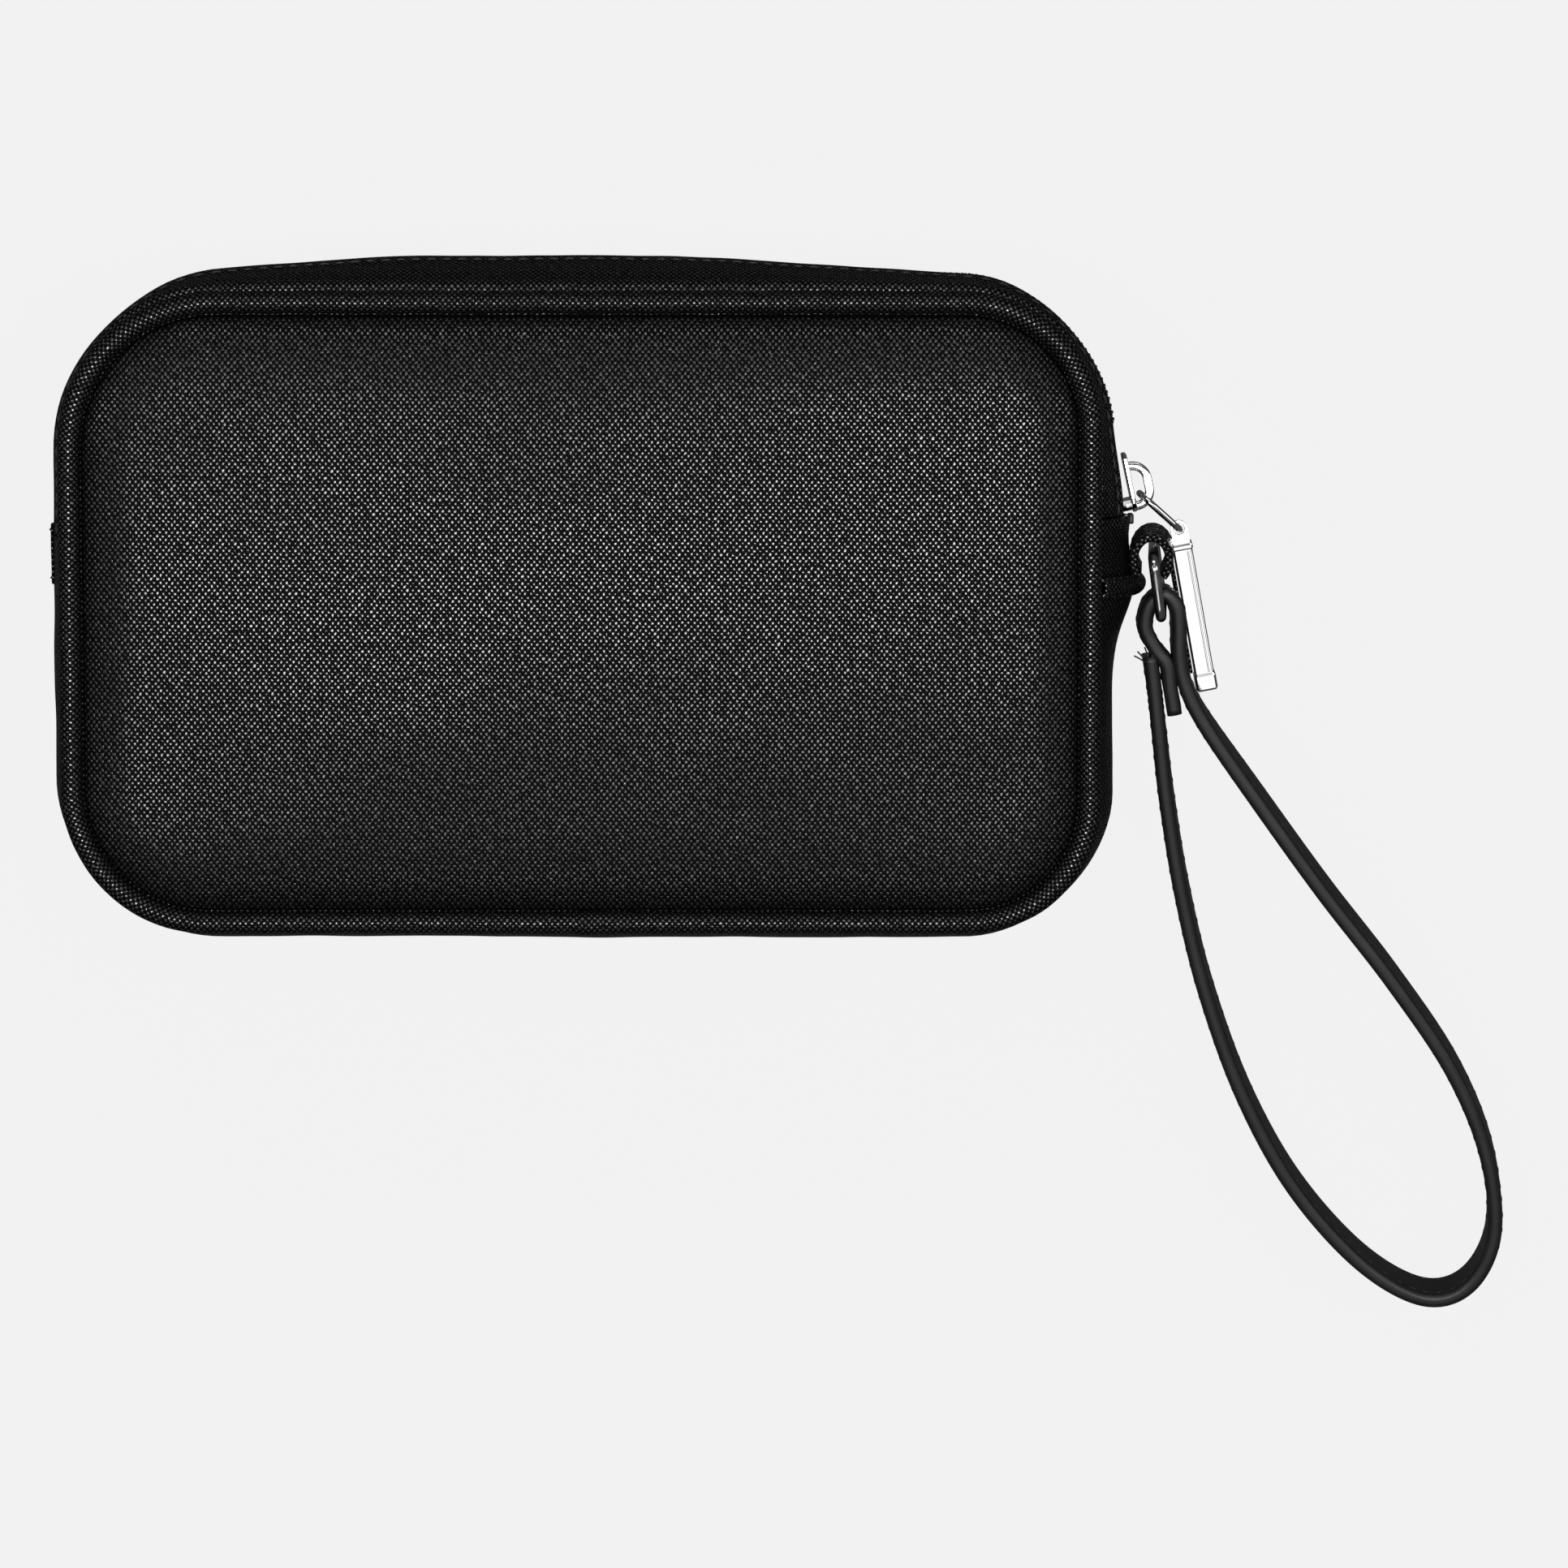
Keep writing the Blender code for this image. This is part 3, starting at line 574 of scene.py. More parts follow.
def panel_piece(name, height, look, body, replaced, thickness, first_inset, lift, flip):
    """A rounded rectangular sheet: rings in from the rim, then a smaller and smaller outline."""
    places = around_outline(PANEL_STEP)
    insets = [first_inset]
    while insets[-1] < 22:
        insets.append(insets[-1] + (0.6 if insets[-1] < 8 else 1.4))
    rows, flats = [], []

    def ring(scale, inset):
        row = []
        for distance in places:
            point, normal = outline_at(distance)
            place = (point - normal * inset) * scale
            row.append(Vector((place.x, place.y, height(place, inset) + lift)))
        rows.append(row)
        flat = [(place.x, place.y) for place in row]
        flats.append([*flat, flat[0]])

    for inset in insets:
        ring(1.0, inset)
    shrinks = 22
    for k in range(1, shrinks):
        ring(1 - k / shrinks, insets[-1])
    centre = Vector((0, 0, height(Vector((0, 0)), insets[-1]) + lift))
    mesh = skin_mesh(name, rows, flats, closed=True, centre=centre, flip=flip)
    thicken(new_piece(name, mesh, look, body, replaced), thickness)


def sweep_mesh(name, route, sections, sides_of, closed=False):
    """A section, or one for each place, carried along a route with the ends closed.

    sides_of gives each place's two directions.
    """
    total = 0.0
    rows, flats = [], []
    for i, place in enumerate(route):
        if i:
            total += (place - route[i - 1]).length
        first, second = sides_of[i]
        section = sections[i] if isinstance(sections[0], list) else sections
        rows.append([place + first * x + second * y for x, y in section])
        girth, flat = 0.0, []
        for k, (x, y) in enumerate([*section, section[0]]):
            if k:
                last = section[k - 1]
                girth += math.hypot(x - last[0], y - last[1])
            flat.append((total, girth))
        flats.append(flat)
    if closed:
        total += (route[0] - route[-1]).length
        flats.append([(total, v) for _, v in flats[0]])
    mesh = skin_mesh(name, rows, flats, closed=True, joined=closed)
    bm = bmesh.new()
    bm.from_mesh(mesh)
    if not closed:
        bm.verts.ensure_lookup_table()
        count, last = len(rows[0]), len(bm.verts)
        bm.faces.new([bm.verts[k] for k in range(count)])
        bm.faces.new([bm.verts[k] for k in reversed(range(last - count, last))])
    bmesh.ops.recalc_face_normals(bm, faces=bm.faces)
    bm.to_mesh(mesh)
    bm.free()
    return mesh


def arc(x, y, radius, first, last, steps):
    """Points of an arc about a centre, between two angles in quarter turns."""
    found = []
    for step in range(steps + 1):
        angle = (first + (last - first) * step / steps) * math.pi / 2
        found.append((x + radius * math.cos(angle), y + radius * math.sin(angle)))
    return found


def circle(radius, sides):
    """A round section."""
    return arc(0, 0, radius, 0, 4, sides)[:-1]


def rounded_section(width, height, corner, steps=3):
    """A rectangle with round corners, anticlockwise."""
    across, up = width / 2 - corner, height / 2 - corner
    found = []
    for x, y, turn in ((1, 1, 0), (-1, 1, 1), (-1, -1, 2), (1, -1, 3)):
        found += arc(x * across, y * up, corner, turn, turn + 1, steps)
    return found


def flat_frames(route, axis, closed=False):
    """At each place of a route in a plane: the plane's axis, and the direction to its left."""
    count = len(route)
    found = []
    for i in range(count):
        before = route[(i - 1) % count] if closed or i else route[0]
        after = route[(i + 1) % count] if closed or i < count - 1 else route[-1]
        way = (after - before).normalized()
        found.append((axis.cross(way).normalized(), axis))
    return found


def add_bead(bm, swells, flat_along, flat_around):
    """Add a closed six-sided tube. Each of its swells is (middle, radius, side, outward)."""
    layer = bm.loops.layers.uv.verify()
    section = circle(1.0, 6)
    rings = []
    for middle, radius, side, out in swells:
        places = [middle + (side * x + out * y) * radius for x, y in section]
        rings.append([bm.verts.new(place * MM) for place in places])
    for a in range(len(rings) - 1):
        for b in range(len(section)):
            corners = ((a, b), (a, b + 1), (a + 1, b + 1), (a + 1, b))
            face = bm.faces.new([rings[x][y % len(section)] for x, y in corners])
            for loop, (x, y) in zip(face.loops, corners):
                loop[layer].uv = (x * flat_along, y * flat_around)
    bm.faces.new(rings[0][::-1])
    bm.faces.new(rings[-1])


def stitches_piece(name, rows, length, radius, body):
    """Rows of separate thread stitches, each a bead along its own direction.

    A row's places are (centre, direction, outward).
    """
    bm = bmesh.new()
    bm.loops.layers.uv.new("weave")
    for centre, way, out in (place for places in rows for place in places):
        side = way.cross(out).normalized()
        swells = []
        for a in range(6):
            full = math.sin(math.pi * (0.12 + 0.76 * a / 5))
            middle = centre + way * (a / 5 - 0.5) * length + out * radius * (full - 0.85)
            swells.append((middle, radius * full, side, out))
        add_bead(bm, swells, length / 5, radius)
    new_piece(name, new_mesh(name, bm, outward=True), "thread", body)


def upright_stitches(distances, first, last, pitch, sink):
    """Rows of stitch places up the wall, one at each distance along it."""
    rows = []
    for distance in distances:
        places = []
        z = first
        while z < last:
            places.append((wall_point(distance, z, sink), UP, wall_normal(distance, z)))
            z += pitch
        rows.append(places)
    return rows


# ======== case


def build_panels():
    """The flat front panel, and the puffed rear panel that folds, with foam and lining inside."""
    for side, height, body, inward, halves in (
        ("front", front_height, "case", 1, ("",)),
        ("rear", rear_height, "fold", -1, ("_lower", "_upper")),
    ):
        lift = 0.0
        for kind, node, look, thickness, inset in (
            ("leather", "panel", "saffiano", LEATHER, PANEL_INSET),
            ("foam", "foam", "foam", FOAM, PADDING_INSET),
            ("lining", "lining", "lining_fabric", LINING, PADDING_INSET),
        ):
            nodes = [f"{side}_{node}{half}" for half in halves]
            panel_piece(f"{side}_panel_{kind}", height, look, body, nodes, thickness, inset,
                        lift * inward, inward > 0)
            lift += thickness + GAP


def piping_piece(name, z, body, replaced, join_at):
    """Covered cord round a panel. One end of the cover laps over the other."""
    route, frames, sections = [], [], []
    for distance in around_outline(1.6):
        place, out = beside_outline(distance, 0.0, z)
        route.append(place + out * 0.10 * soft_noise(place.x, place.y, z, 12.0))
        frames.append((out, UP))
        lap = 0.30 * math.exp(-((distance - join_at) % PERIMETER) / 9.0)
        lumps = 0.07 * soft_noise(place.x, place.y, z + 50, 4.0)
        sections.append(circle(PIPING_RADIUS - 0.05 + lap + lumps, 20))
    mesh = sweep_mesh(name, route, sections, frames, closed=True)
    new_piece(name, mesh, "saffiano", body, replaced)


def build_piping():
    """Both pipings, lapped at the middle of the bottom edge."""
    lap_at = sum(run[0] for run in RUNS[:6]) + HALF_WIDTH - CORNERS[2]
    piping_piece("front_piping_cord", FRONT_PIPING_Z, "case", ["front_piping"], lap_at)
    piping_piece("rear_piping_cord", REAR_PIPING_Z, "fold",
                 ["rear_piping_lower", "rear_piping_upper"], lap_at)


def build_seams():
    """The sewn welt under each piping, which closes the groove between panel and wall.

    A profile is (outward, away from the panel) for each of the welt's edges.
    """
    behind_rear = ((-0.6, 2.75), (-1.7, 2.45), (-2.9, 1.9), (-4.1, 2.2), (-5.2, 3.4))
    behind_front = ((-1.6, 4.8), (-1.5, 3.4), (-1.7, 2.2), (-2.8, 1.0), (-3.6, -0.4), (-4.6, -2.5))
    places = around_outline(PANEL_STEP)
    for name, z, body, way, profile in (
        ("rear_seam_welt", REAR_PIPING_Z, "fold", -1, behind_rear),
        ("front_seam_welt", FRONT_PIPING_Z, "case", 1, behind_front),
    ):
        rows, flats = [], []
        for outward, drop in profile:
            rows.append([beside_outline(s, outward, z + way * drop)[0] for s in places])
            flats.append([(s, -outward) for s in [*places, PERIMETER]])
        mesh = skin_mesh(name, rows, flats, closed=True, flip=way < 0)
        thicken(new_piece(name, mesh, "saffiano", body), 0.5)


def build_top_roll():
    """The wall's leather rolls up beside the rear piping along the top."""
    route, frames, sections = [], [], []
    for distance in spaced(on_right(HALF_HEIGHT - 10), on_left(HALF_HEIGHT - 10), 2.0):
        share = 0.25 + 0.75 * top_share(distance)
        z = GUSSET_REAR_Z - 0.6 + 0.2 * share
        place, out = beside_outline(distance, 2.0 + 0.7 * share, z)
        route.append(place)
        frames.append((out, UP))
        sections.append(circle(2.1 * share, 16))
    mesh = sweep_mesh("top_seam_roll", route, sections, frames)
    new_piece("top_seam_roll", mesh, "saffiano", "fold")


def build_wall():
    """The plain wall round the bottom and its lining."""
    start, end = on_left(ZIP_LEFT_Y - GAP), on_right(ZIP_RIGHT_Y - GAP)
    low, high = GUSSET_FRONT_Z, GUSSET_REAR_Z
    strip_piece("bottom_wall", start, end, low, high, 2.0, "saffiano", "case",
                ["bottom_gusset"], LEATHER)
    strip_piece("bottom_wall_lining", start + 2, end - 2, low + 2, high - 2, 3.0, "lining_fabric",
                "case", ["bottom_gusset_lining"], LINING, INNER_SINK)


def top_share(distance):
    """1 along the top of the bag, falling to 0 round its corners."""
    point, normal = outline_at(distance)
    along = abs(point.x) / (HALF_WIDTH - 12)
    return max(normal.y, 0) ** 2 * math.exp(-(along**6))


def zip_edge(distance, way):
    """Depth of a strip's folded edge, which comes nearer the coil along the top."""
    return ZIP_Z + way * (TAPE_HALF - EDGE_CLOSER * top_share(distance))


def fold_lift(inner_at_start):
    """The folded edge of a zip strip: a soft roll beside the tape, with a dip under the stitches."""

    def lift(share):
        near = share if inner_at_start else 1 - share
        roll = 0.35 * math.exp(-((near / 0.10) ** 2))
        dip = -0.22 * math.exp(-(((near - 0.2) / 0.06) ** 2))
        return roll + dip

    return lift


def zip_stitches(way):
    """Stitch places along the zip, a little beyond a strip's folded edge."""
    found = []
    for distance in spaced(on_right(ZIP_RIGHT_Y + 1.5), on_left(ZIP_LEFT_Y + 1.5), 3.3):
        z = zip_edge(distance, way) + 2.2 * way
        here = wall_point(distance, z)
        along = (wall_point(distance + 0.5, z) - here).normalized()
        out = wall_normal(distance, z)
        found.append((here + out * 0.02, along, out))
    return found


def build_zip():
    """Leather strips with their topstitching, woven tapes and the coil, on both sides."""
    start, end, coil_start = on_right(ZIP_RIGHT_Y), on_left(ZIP_LEFT_Y), on_right(TEETH_START_Y)
    for side, body, way, rim, parts, phase in (
        ("front", "case", -1, GUSSET_FRONT_Z, ("",), 0.0),
        ("rear", "fold", 1, GUSSET_REAR_Z, ("", "_left", "_right"), 0.5),
    ):
        strips, tapes, teeth = (
            [f"{side}_zip_{kind}{part}" for part in parts] for kind in ("strip", "tape", "teeth")
        )
        edges = (lambda s, way=way: zip_edge(s, way), rim)
        strip_piece(f"{side}_zip_leather", start, end, *edges[::way], 2.0, "saffiano", body,
                    strips, LEATHER, lift=fold_lift(way > 0))
        edges = (ZIP_Z + way * TAPE_EDGE, ZIP_Z + way * (TAPE_HALF + TAPE_TUCK))
        strip_piece(f"{side}_tape", start, end, *edges[::way], 2.0, "zip_tape", body, tapes,
                    TAPE, TAPE_SINK, edge=0.0)
        stitches_piece(f"{side}_zip_stitches", [zip_stitches(way)], 2.5, 0.30, body)
        build_coil(f"{side}_coil", way, coil_start, end, body, teeth, phase)


def build_coil(name, way, start, end, body, replaced, phase):
    """One row of coil teeth: rounded loops across the tape's edge, each thickest near its tip."""
    pitch, sink, steps = 1.25, INNER_SINK - 1.2, 6
    bm = bmesh.new()
    bm.loops.layers.uv.new("weave")
    for k in range(int((end - start) / pitch) - 1):
        distance = start + (k + phase + 0.3) * pitch
        swells = []
        for step in range(steps + 1):
            share = step / steps
            z = ZIP_Z + way * (3.1 - 3.35 * share)
            rise = 0.55 * math.sin(math.pi * min(1.0, 0.12 + 0.88 * share))
            lean = 0.18 * math.sin(math.pi * share)
            radius = 0.44 + 0.10 * math.exp(-(((share - 0.86) / 0.14) ** 2))
            middle = wall_point(distance + lean, z, sink - rise, 0.0)
            here, after = (wall_point(s, z, 0.0, 0.0) for s in (distance, distance + 0.5))
            swells.append((middle, radius, (after - here).normalized(), wall_normal(distance, z)))
        add_bead(bm, swells, 0.5, 0.4)
    new_piece(name, new_mesh(name, bm, outward=True), "zip_coil", body, replaced)


def build_zip_ends():
    """The stop below the slider and the folded tab at the other end."""
    low, high = box_mm("zip_end_stop")
    bm = bmesh.new()
    bmesh.ops.create_cube(bm, size=1.0)
    bmesh.ops.scale(bm, vec=(high - low) * MM, verts=bm.verts)
    bmesh.ops.translate(bm, vec=((low + high) / 2 + Vector((-1.2, 0, 0))) * MM, verts=bm.verts)
    bm.loops.layers.uv.new("weave")
    mesh = new_mesh("zip_stop", bm)
    soften(new_piece("zip_stop", mesh, "strap_edge", "case", ["zip_end_stop"]), 0.35, 3)
    low, high = box_mm("zip_end_tab")
    proud = 0.5
    strip_piece("zip_tab", on_left(high.y), on_left(low.y), low.z, high.z, 1.2, "saffiano", "case",
                ["zip_end_tab"], proud, -proud, edge=0.2)
    sides = (on_left(low.y + 1.3), on_left(high.y - 1.3))
    rows = upright_stitches(sides, low.z + 1.6, high.z - 1.0, 2.9, -proud)
    stitches_piece("zip_tab_stitches", rows, 2.2, 0.28, "case")


# ======== slider and pull


SLIDER_Y = 26.5
SLIDER_SEAT = wall_point(on_right(SLIDER_Y), ZIP_Z, 0.0, 0.0)
PLATE = 1.0


def slider_place(along, outward, across=0.0):
    """A place on the slider: along the zip, out from the plate's underside, and up."""
    return SLIDER_SEAT + SLIDER_WAY * along + SLIDER_OUT * outward + UP * across


def slider_plate(name, outline, low, high, replaced=()):
    """A plate from a flat outline on the slider, between two heights above its seat."""
    bm = bmesh.new()
    layer = bm.loops.layers.uv.new("weave")
    bottom = [bm.verts.new(slider_place(a, low, c) * MM) for a, c in outline]
    top = [bm.verts.new(slider_place(a, high, c) * MM) for a, c in outline]
    count = len(outline)
    bm.faces.new(top)
    bm.faces.new(bottom[::-1])
    for i in range(count):
        j = (i + 1) % count
        bm.faces.new((bottom[i], bottom[j], top[j], top[i]))
    for loop in (loop for face in bm.faces for loop in face.loops):
        loop[layer].uv = (loop.vert.co.y / MM, loop.vert.co.z / MM)
    mesh = new_mesh(name, bm, outward=True)
    return new_piece(name, mesh, "chrome", "zip_slider", replaced, smooth=False)


def slider_outline(length, wide, narrow):
    """A zip slider's shield: wide and round at the shoulders, narrower at the tail."""
    half, tail = length / 2, narrow / 2
    head = [(3.2 * x + 3.2 - half, wide / 2 * y) for x, y in arc(0, 0, 1, 1, 3, 8)]
    corner = ((half - 1.2, tail + 0.3), (half, tail - 0.7))
    return [*head, *((x, -y) for x, y in corner), *corner[::-1]]


def build_slider():
    """Outer and inner plates, the post between them, and the C shaped bridge."""
    outline = slider_outline(13.0, 8.6, 7.9)
    soften(slider_plate("slider_plate", outline, 0.0, PLATE, ["slider"]), 0.28, 3)
    inner = [(a * 0.85, c * 0.72) for a, c in outline]
    soften(slider_plate("slider_inner_plate", inner, -5.9, -4.9), 0.25, 2)
    post = [(1.5 * x - 4.5, 1.2 * y) for x, y in circle(1.0, 12)]
    slider_plate("slider_post", post, -5.2, 0.3)
    foot_low, foot_high, reach, corner = -5.3, 3.4, 3.5, 3.2
    level = PLATE + reach - corner
    route = [
        (foot_high, PLATE + 0.25),
        *arc(foot_high - corner, level, corner, 0, 1, 10),
        *arc(foot_low + corner, level, corner, 1, 2, 10),
        (foot_low, 0.7),
    ]
    places = [slider_place(along, outward) for along, outward in route]
    section = rounded_section(1.9, 2.1, 0.4)
    mesh = sweep_mesh("slider_bridge", places, section, flat_frames(places, UP))
    new_piece("slider_bridge", mesh, "chrome", "zip_slider")


def wire_ring(name, centre, way, across, half_length, half_width, corner, wire, look, body,
              replaced):
    """A closed wire: a rounded rectangle in the plane of two directions."""
    points = rounded_section(2 * half_length, 2 * half_width, corner, 10)
    places = [centre + way * u + across * v for u, v in points]
    route = []
    for here, after in zip(places, places[1:] + places[:1]):
        parts = max(1, round((after - here).length))
        route += [here.lerp(after, k / parts) for k in range(parts)]
    frames = flat_frames(route, way.cross(across), closed=True)
    mesh = sweep_mesh(name, route, circle(wire, 16), frames, closed=True)
    new_piece(name, mesh, look, body, replaced)


def build_pull():
    """Wire link, and the bar with its hinge eye, channels, end cap and dark backing."""
    way = (LINK_END - LINK_START).normalized()
    side = UP.cross(way).normalized()
    across = way.cross(side).normalized()
    half = (LINK_END - LINK_START).length / 2
    wire_ring("pull_link_wire", (LINK_START + LINK_END) / 2, way, across, half, 3.3, 3.0, 0.72,
              "chrome", "link", ["pull_link"])
    bar_low, bar_high = box_mm("pull_bar")
    end = Vector((bar_high.x - 2.2, bar_low.y + 0.3, bar_low.z + 2.0))
    way = (end - LINK_END).normalized()
    length = (end - LINK_END).length
    left = way.cross(UP).normalized()
    top = way.cross(left).normalized()
    if top.z < 0:
        top = -top

    def block(name, start, stop, width, depth, beside, above, corner, look="chrome", replaced=()):
        """A straight block along the bar, with rounded long edges and ends."""
        section = rounded_section(width, depth, corner)
        line = LINK_END + left * beside + top * above
        route = [line + way * along for along in (start, start + corner, stop - corner, stop)]
        shrink = [(x * (1 - corner / width * 1.2), y * (1 - corner / depth * 1.2)) for x, y in section]
        sections = [shrink, section, section, shrink]
        mesh = sweep_mesh(name, route, sections, [(left, top)] * 4)
        new_piece(name, mesh, look, "bar", replaced, smooth=False)

    head = 3.2
    block("bar_body", head, length - 3.6, 4.2, 4.2, 0, 0, 0.35, replaced=["pull_bar"])
    block("bar_cap", length - 3.9, length, 4.7, 4.7, 0, 0, 0.5)
    block("bar_collar", head - 0.1, head + 1.3, 4.6, 4.6, 0, 0, 0.4)
    for name, beside in (("bar_rib_inner", -1.0), ("bar_rib_outer", -1.75)):
        block(name, head + 1.6, length - 4.2, 0.4, 0.4, beside, 2.1, 0.12)
    block("bar_backing", head + 2.0, length - 4.4, 0.9, 3.2, 2.9, 0, 0.2, "saffiano", ["pull_backing"])
    build_eye(Vector((way.x, way.y, 0)).normalized(), head + 0.6)


def build_eye(way, reach):
    """The flat eye that hangs the bar on the link, reaching into the collar."""
    radius, hole_radius, half_thick = 1.85, 1.3, 0.72
    outline = [(reach, -radius), *arc(0, 0, radius, 3, 1, 16), (reach, radius)]
    side = UP.cross(way).normalized()
    bm = bmesh.new()
    layer = bm.loops.layers.uv.new("weave")
    levels = []
    for z in (-half_thick, half_thick):
        loops, edges = [], []
        for section in (outline, circle(hole_radius, 20)):
            places = [LINK_END + way * x + side * y + UP * z for x, y in section]
            verts = [bm.verts.new(place * MM) for place in places]
            edges += [bm.edges.new(pair) for pair in zip(verts, verts[1:] + verts[:1])]
            loops.append(verts)
        bmesh.ops.triangle_fill(bm, use_beauty=True, edges=edges)
        levels.append(loops)
    for below, above in zip(*levels):
        for i in range(len(below)):
            bm.faces.new((below[i - 1], below[i], above[i], above[i - 1]))
    for loop in (loop for face in bm.faces for loop in face.loops):
        loop[layer].uv = (loop.vert.co.x / MM, loop.vert.co.y / MM)
    mesh = new_mesh("bar_eye", bm, outward=True)
    soften(new_piece("bar_eye", mesh, "chrome", "bar", smooth=False), 0.15, 2)


# ======== tab, ring and strap


def strap_place(x, y):
    """The point of the strap's middle plane above a place in plan."""
    dx, dy = x - RING_BOTTOM.x, y - RING_BOTTOM.y
    drop = (STRAP_AXIS.x * dx + STRAP_AXIS.y * dy) / STRAP_AXIS.z
    return Vector((x, y, RING_BOTTOM.z - drop))


def band_stitches(route, frames, chosen, across, out, thickness):
    """A row of stitch places along a band, on its left or on its right face."""
    places = []
    for i in chosen:
        way = (route[i + 1] - route[i - 1]).normalized()
        left, axis = frames[i]
        face = left * out
        places.append((route[i] + axis * across + face * thickness, way, face))
    return places


def build_tab_rib():
    """The rolled rib across the wall, with its stitches."""
    low, high = box_mm("tab_rib")
    rows, flats = [], []
    lengthwise, sideways = 30, 12
    for step in range(lengthwise + 1):
        z = low.z + (high.z - low.z) * step / lengthwise
        row, flat = [], []
        for k in range(sideways + 1):
            side = k / sideways - 0.5
            y = (low.y + high.y) / 2 + side * (high.y - low.y)
            dome = 2.2 * math.sqrt(1 - (2 * side) ** 2 * 0.92)
            row.append(wall_point(on_right(y), z, -(GAP + dome)))
            flat.append((z, y * 1.3))
        rows.append(row)
        flats.append(flat)
    mesh = skin_mesh("tab_rib_roll", rows, flats)
    thicken(new_piece("tab_rib_roll", mesh, "saffiano", "case", ["tab_rib"]), 0.8)
    sides = (on_right(low.y + 0.5), on_right(high.y - 0.5))
    rows = upright_stitches(sides, low.z + 1.5, high.z - 1.0, 2.6, -(GAP + 1.0))
    stitches_piece("tab_rib_stitches", rows, 2.0, 0.27, "case")


def build_tab_loop():
    """The leather loop that holds the ring, with a stitch line near each edge."""
    centre_x, centre_y, half_width, half_height = 122.5, 11.4, 3.8, 4.9
    steps = 60
    turn = arc(0, 0, 1, 222 / 90, -48 / 90, steps)
    route = [strap_place(centre_x + half_width * x, centre_y + half_height * y) for x, y in turn]
    frames = flat_frames(route, STRAP_AXIS)
    mesh = sweep_mesh("tab_loop_leather", route, rounded_section(1.8, 10.4, 0.5), frames)
    new_piece("tab_loop_leather", mesh, "saffiano", "case", ["tab_loop"])
    chosen = range(3, steps - 2, 4)
    rows = [band_stitches(route, frames, chosen, edge, 1, 0.82) for edge in (-4.3, 4.3)]
    stitches_piece("tab_loop_stitches", rows, 1.5, 0.2, "case")


def build_ring():
    """The oval wire ring."""
    way = (RING_BOTTOM - RING_TOP).normalized()
    half = (RING_BOTTOM - RING_TOP).length / 2 - 0.8
    wire_ring("ring_wire", RING_TOP + way * half, way, STRAP_AXIS, half, 8.1, 2.6, 1.15,
              "dark_chrome", "ring", ["oval_ring"])


# The strap's route in plan from the ring's lower end: its cut end, the long turn, the sewn end
STRAP_KNOTS = (
    (-2.6, -8.4), (-1.6, -15.0), (-0.4, -24.5), (1.6, -40.0), (5.1, -60.0), (10.6, -82.0),
    (19.4, -106.0), (31.0, -127.0), (46.0, -144.0), (60.0, -152.0), (70.0, -149.0),
    (75.2, -137.0), (73.0, -119.0), (65.0, -100.0), (51.5, -80.0), (36.0, -60.0),
    (21.5, -40.0), (9.2, -22.5), (4.9, -14.0), (3.7, -8.0), (3.5, -3.0), (3.0, 2.2),
    (0.4, 5.3), (-2.8, 3.0), (-3.8, -2.0), (-1.6, -6.6), (1.0, -10.0), (1.85, -15.0),
    (2.9, -20.6),
)


def strap_route(spacing):
    """Points along a Catmull-Rom curve through the knots, on the strap's plane."""
    points = [Vector((RING_BOTTOM.x + x, RING_BOTTOM.y + y)) for x, y in STRAP_KNOTS]
    padded = [2 * points[0] - points[1], *points, 2 * points[-1] - points[-2]]
    found = []
    for i in range(1, len(padded) - 2):
        before, here, there, after = padded[i - 1 : i + 3]
        steps = max(1, round((there - here).length / spacing))
        for step in range(steps):
            t = step / steps
            bend = 2 * before - 5 * here + 4 * there - after
            twist = 3 * here - before - 3 * there + after
            found.append(here + 0.5 * ((there - before) * t + bend * t**2 + twist * t**3))
    found.append(points[-1])
    return [strap_place(place.x, place.y) for place in found]


def build_strap():
    """Wrist strap with painted edges, leather faces and a stitch line near each edge."""
    width, thickness = 12.0, 3.2
    route = strap_route(1.2)
    frames = []
    for i, (side, _) in enumerate(flat_frames(route, STRAP_AXIS)):
        near = math.exp(-(((route[i].y - RING_BOTTOM.y) / 22.0) ** 2))
        axis = STRAP_AXIS.lerp(UP, near).normalized()
        across = side - axis * side.dot(axis)
        frames.append((across.normalized(), axis))
    section = rounded_section(thickness, width, 1.3, 6)
    mesh = sweep_mesh("strap_band", route, section, frames)
    looks = ("strap_edge", "strap_face")
    new_piece("strap_band", mesh, looks, "strap", ["wrist_strap"])
    for polygon in mesh.polygons:
        if abs(polygon.normal.dot(STRAP_AXIS)) < 0.35:
            polygon.material_index = 1
    chosen, depth = range(4, len(route) - 4, 3), thickness / 2 - 0.14
    rows = [
        band_stitches(route, frames, chosen, edge, face, depth)
        for edge in (-width / 2 + 2.0, width / 2 - 2.0)
        for face in (-1, 1)
    ]
    stitches_piece("strap_stitches", rows, 2.6, 0.27, "strap")
    build_frays(route[0], frames[0])


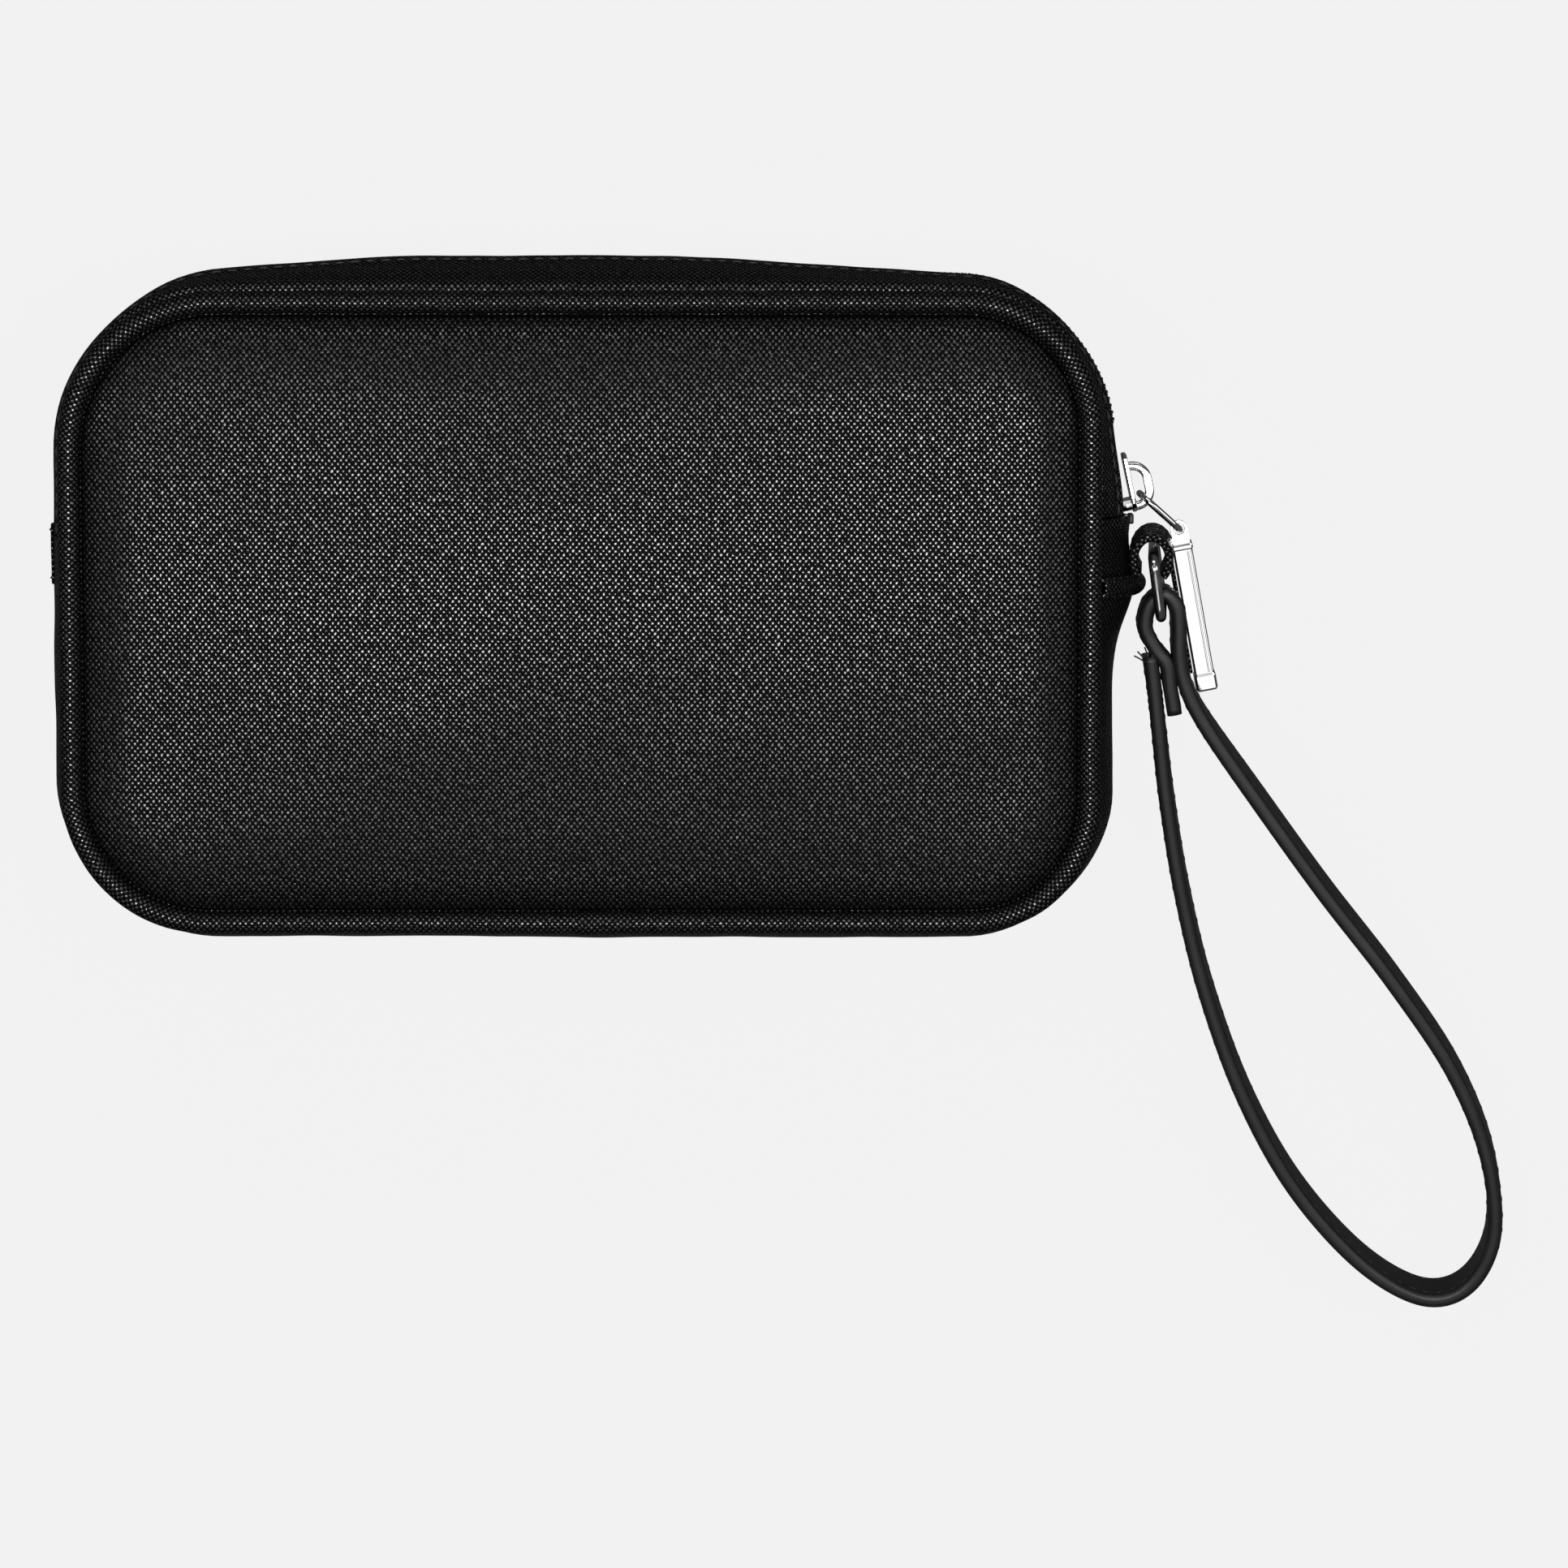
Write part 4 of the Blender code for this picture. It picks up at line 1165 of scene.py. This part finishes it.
def build_frays(end, sides):
    """Loose thread ends at the strap's cut end, each (beside, high, lean, length)."""
    across, axis = sides
    ends = (
        (-1.2, 3.6, -1.6, 1.3), (-0.4, 4.4, -0.9, 2.2), (0.9, 3.9, 0.7, 1.7),
        (1.3, 4.6, 1.9, 1.0), (-1.3, 5.0, -2.3, 0.5), (0.2, 5.2, 0.4, 1.5),
    )
    tubes = bmesh.new()
    tubes.loops.layers.uv.new("weave")
    for beside, high, lean, length in ends:
        start = end + across * beside + axis * high + Vector((0, -1.0, 0))
        route = []
        for k in range(7):
            share = k / 6
            bend = Vector((lean * share**1.5, (length + 1.0) * share, 0.5 * math.sin(3 * share)))
            route.append(start + bend)
        mesh = sweep_mesh("fray", route, circle(0.17, 6), flat_frames(route, axis))
        tubes.from_mesh(mesh)
        bpy.data.meshes.remove(mesh)
    new_piece("strap_frays", new_mesh("strap_frays", tubes), "thread", "strap")


# ======== stage


def linked(name, data, matrix=None):
    """A new object in the scene."""
    made = bpy.data.objects.new(name, data)
    bpy.context.scene.collection.objects.link(made)
    if matrix is not None:
        made.matrix_world = matrix
    return made


def build_floor():
    """A pale plane. Light that leaves a surface doesn't see it, so it doesn't brighten the bag."""
    half_size, centre = 2.0, Vector((0.05, -0.03, -0.0006))
    bm = bmesh.new()
    bmesh.ops.create_grid(bm, x_segments=8, y_segments=8, size=half_size)
    bmesh.ops.translate(bm, vec=centre, verts=bm.verts)
    mesh = new_mesh("floor", bm)
    mesh.materials.append(LOOKS["floor"])
    floor = linked("floor", mesh)
    floor.visible_diffuse = False
    floor.visible_glossy = False


def area(name, place, target, width, height, radiance, turn=0.0):
    """A soft light in metres, facing a target and turned about the upright by some degrees."""
    data = bpy.data.lights.new(name, "AREA")
    data.shape = "RECTANGLE"
    data.size, data.size_y = width, height
    data.energy = radiance * math.pi * width * height
    way = (Vector(target) - Vector(place)).to_track_quat("-Z", "Y").to_matrix().to_4x4()
    spin = Matrix.Rotation(math.radians(turn), 4, "Z")
    linked(name, data, Matrix.Translation(place) @ spin @ way)


def build_lights():
    """A narrow bright strip above, dim cards beside it, softboxes round about and a dim sky."""
    world = bpy.data.worlds.new("studio")
    world.use_nodes = True
    world.node_tree.nodes["Background"].inputs[0].default_value = (1, 1, 1, 1)
    world.node_tree.nodes["Background"].inputs[1].default_value = 0.08
    bpy.context.scene.world = world

    bag = (0.0, 0.0, 0.06)
    area("overhead_strip", (0.03, -0.055, 1.65), (0.03, 0.0, 0.06), 1.3, 0.26, 17, 6)
    area("near_card", (0.2, -0.80, 1.45), bag, 0.9, 0.4, 1.3)
    area("far_card", (0.2, 0.70, 1.45), bag, 0.9, 0.4, 0.8)
    area("left_softbox", (-1.2, 0.3, 1.1), bag, 0.4, 0.9, 3.5)
    area("right_softbox", (1.3, 0.2, 1.1), bag, 0.4, 0.9, 3.5)
    area("far_softbox", (0.0, 1.25, 1.1), bag, 1.4, 0.3, 3.5)


def build_camera():
    """A camera above the rear panel, tilted a little towards its top edge."""
    centre, view_width = Vector((43.3, -36.3, REAR_PIPING_Z)), 334.256
    away, tilt = 1500.0, math.radians(5.4)
    back = Vector((0, math.sin(tilt), math.cos(tilt)))
    data = bpy.data.cameras.new("camera")
    data.sensor_width = 36.0
    data.lens = data.sensor_width * away / view_width
    data.clip_end = 20.0
    side = Vector((1, 0, 0))
    turn = Matrix((side, back.cross(side), back)).transposed().to_4x4()
    place = Matrix.Translation((centre + back * away) * MM)
    bpy.context.scene.camera = linked("camera", data, place @ turn)
    bpy.context.scene.view_settings.view_transform = "Standard"


build_floor()
build_lights()
build_camera()
build_panels()
build_piping()
build_seams()
build_top_roll()
build_wall()
build_zip()
build_zip_ends()
build_slider()
build_pull()
build_tab_rib()
build_tab_loop()
build_ring()
build_strap()
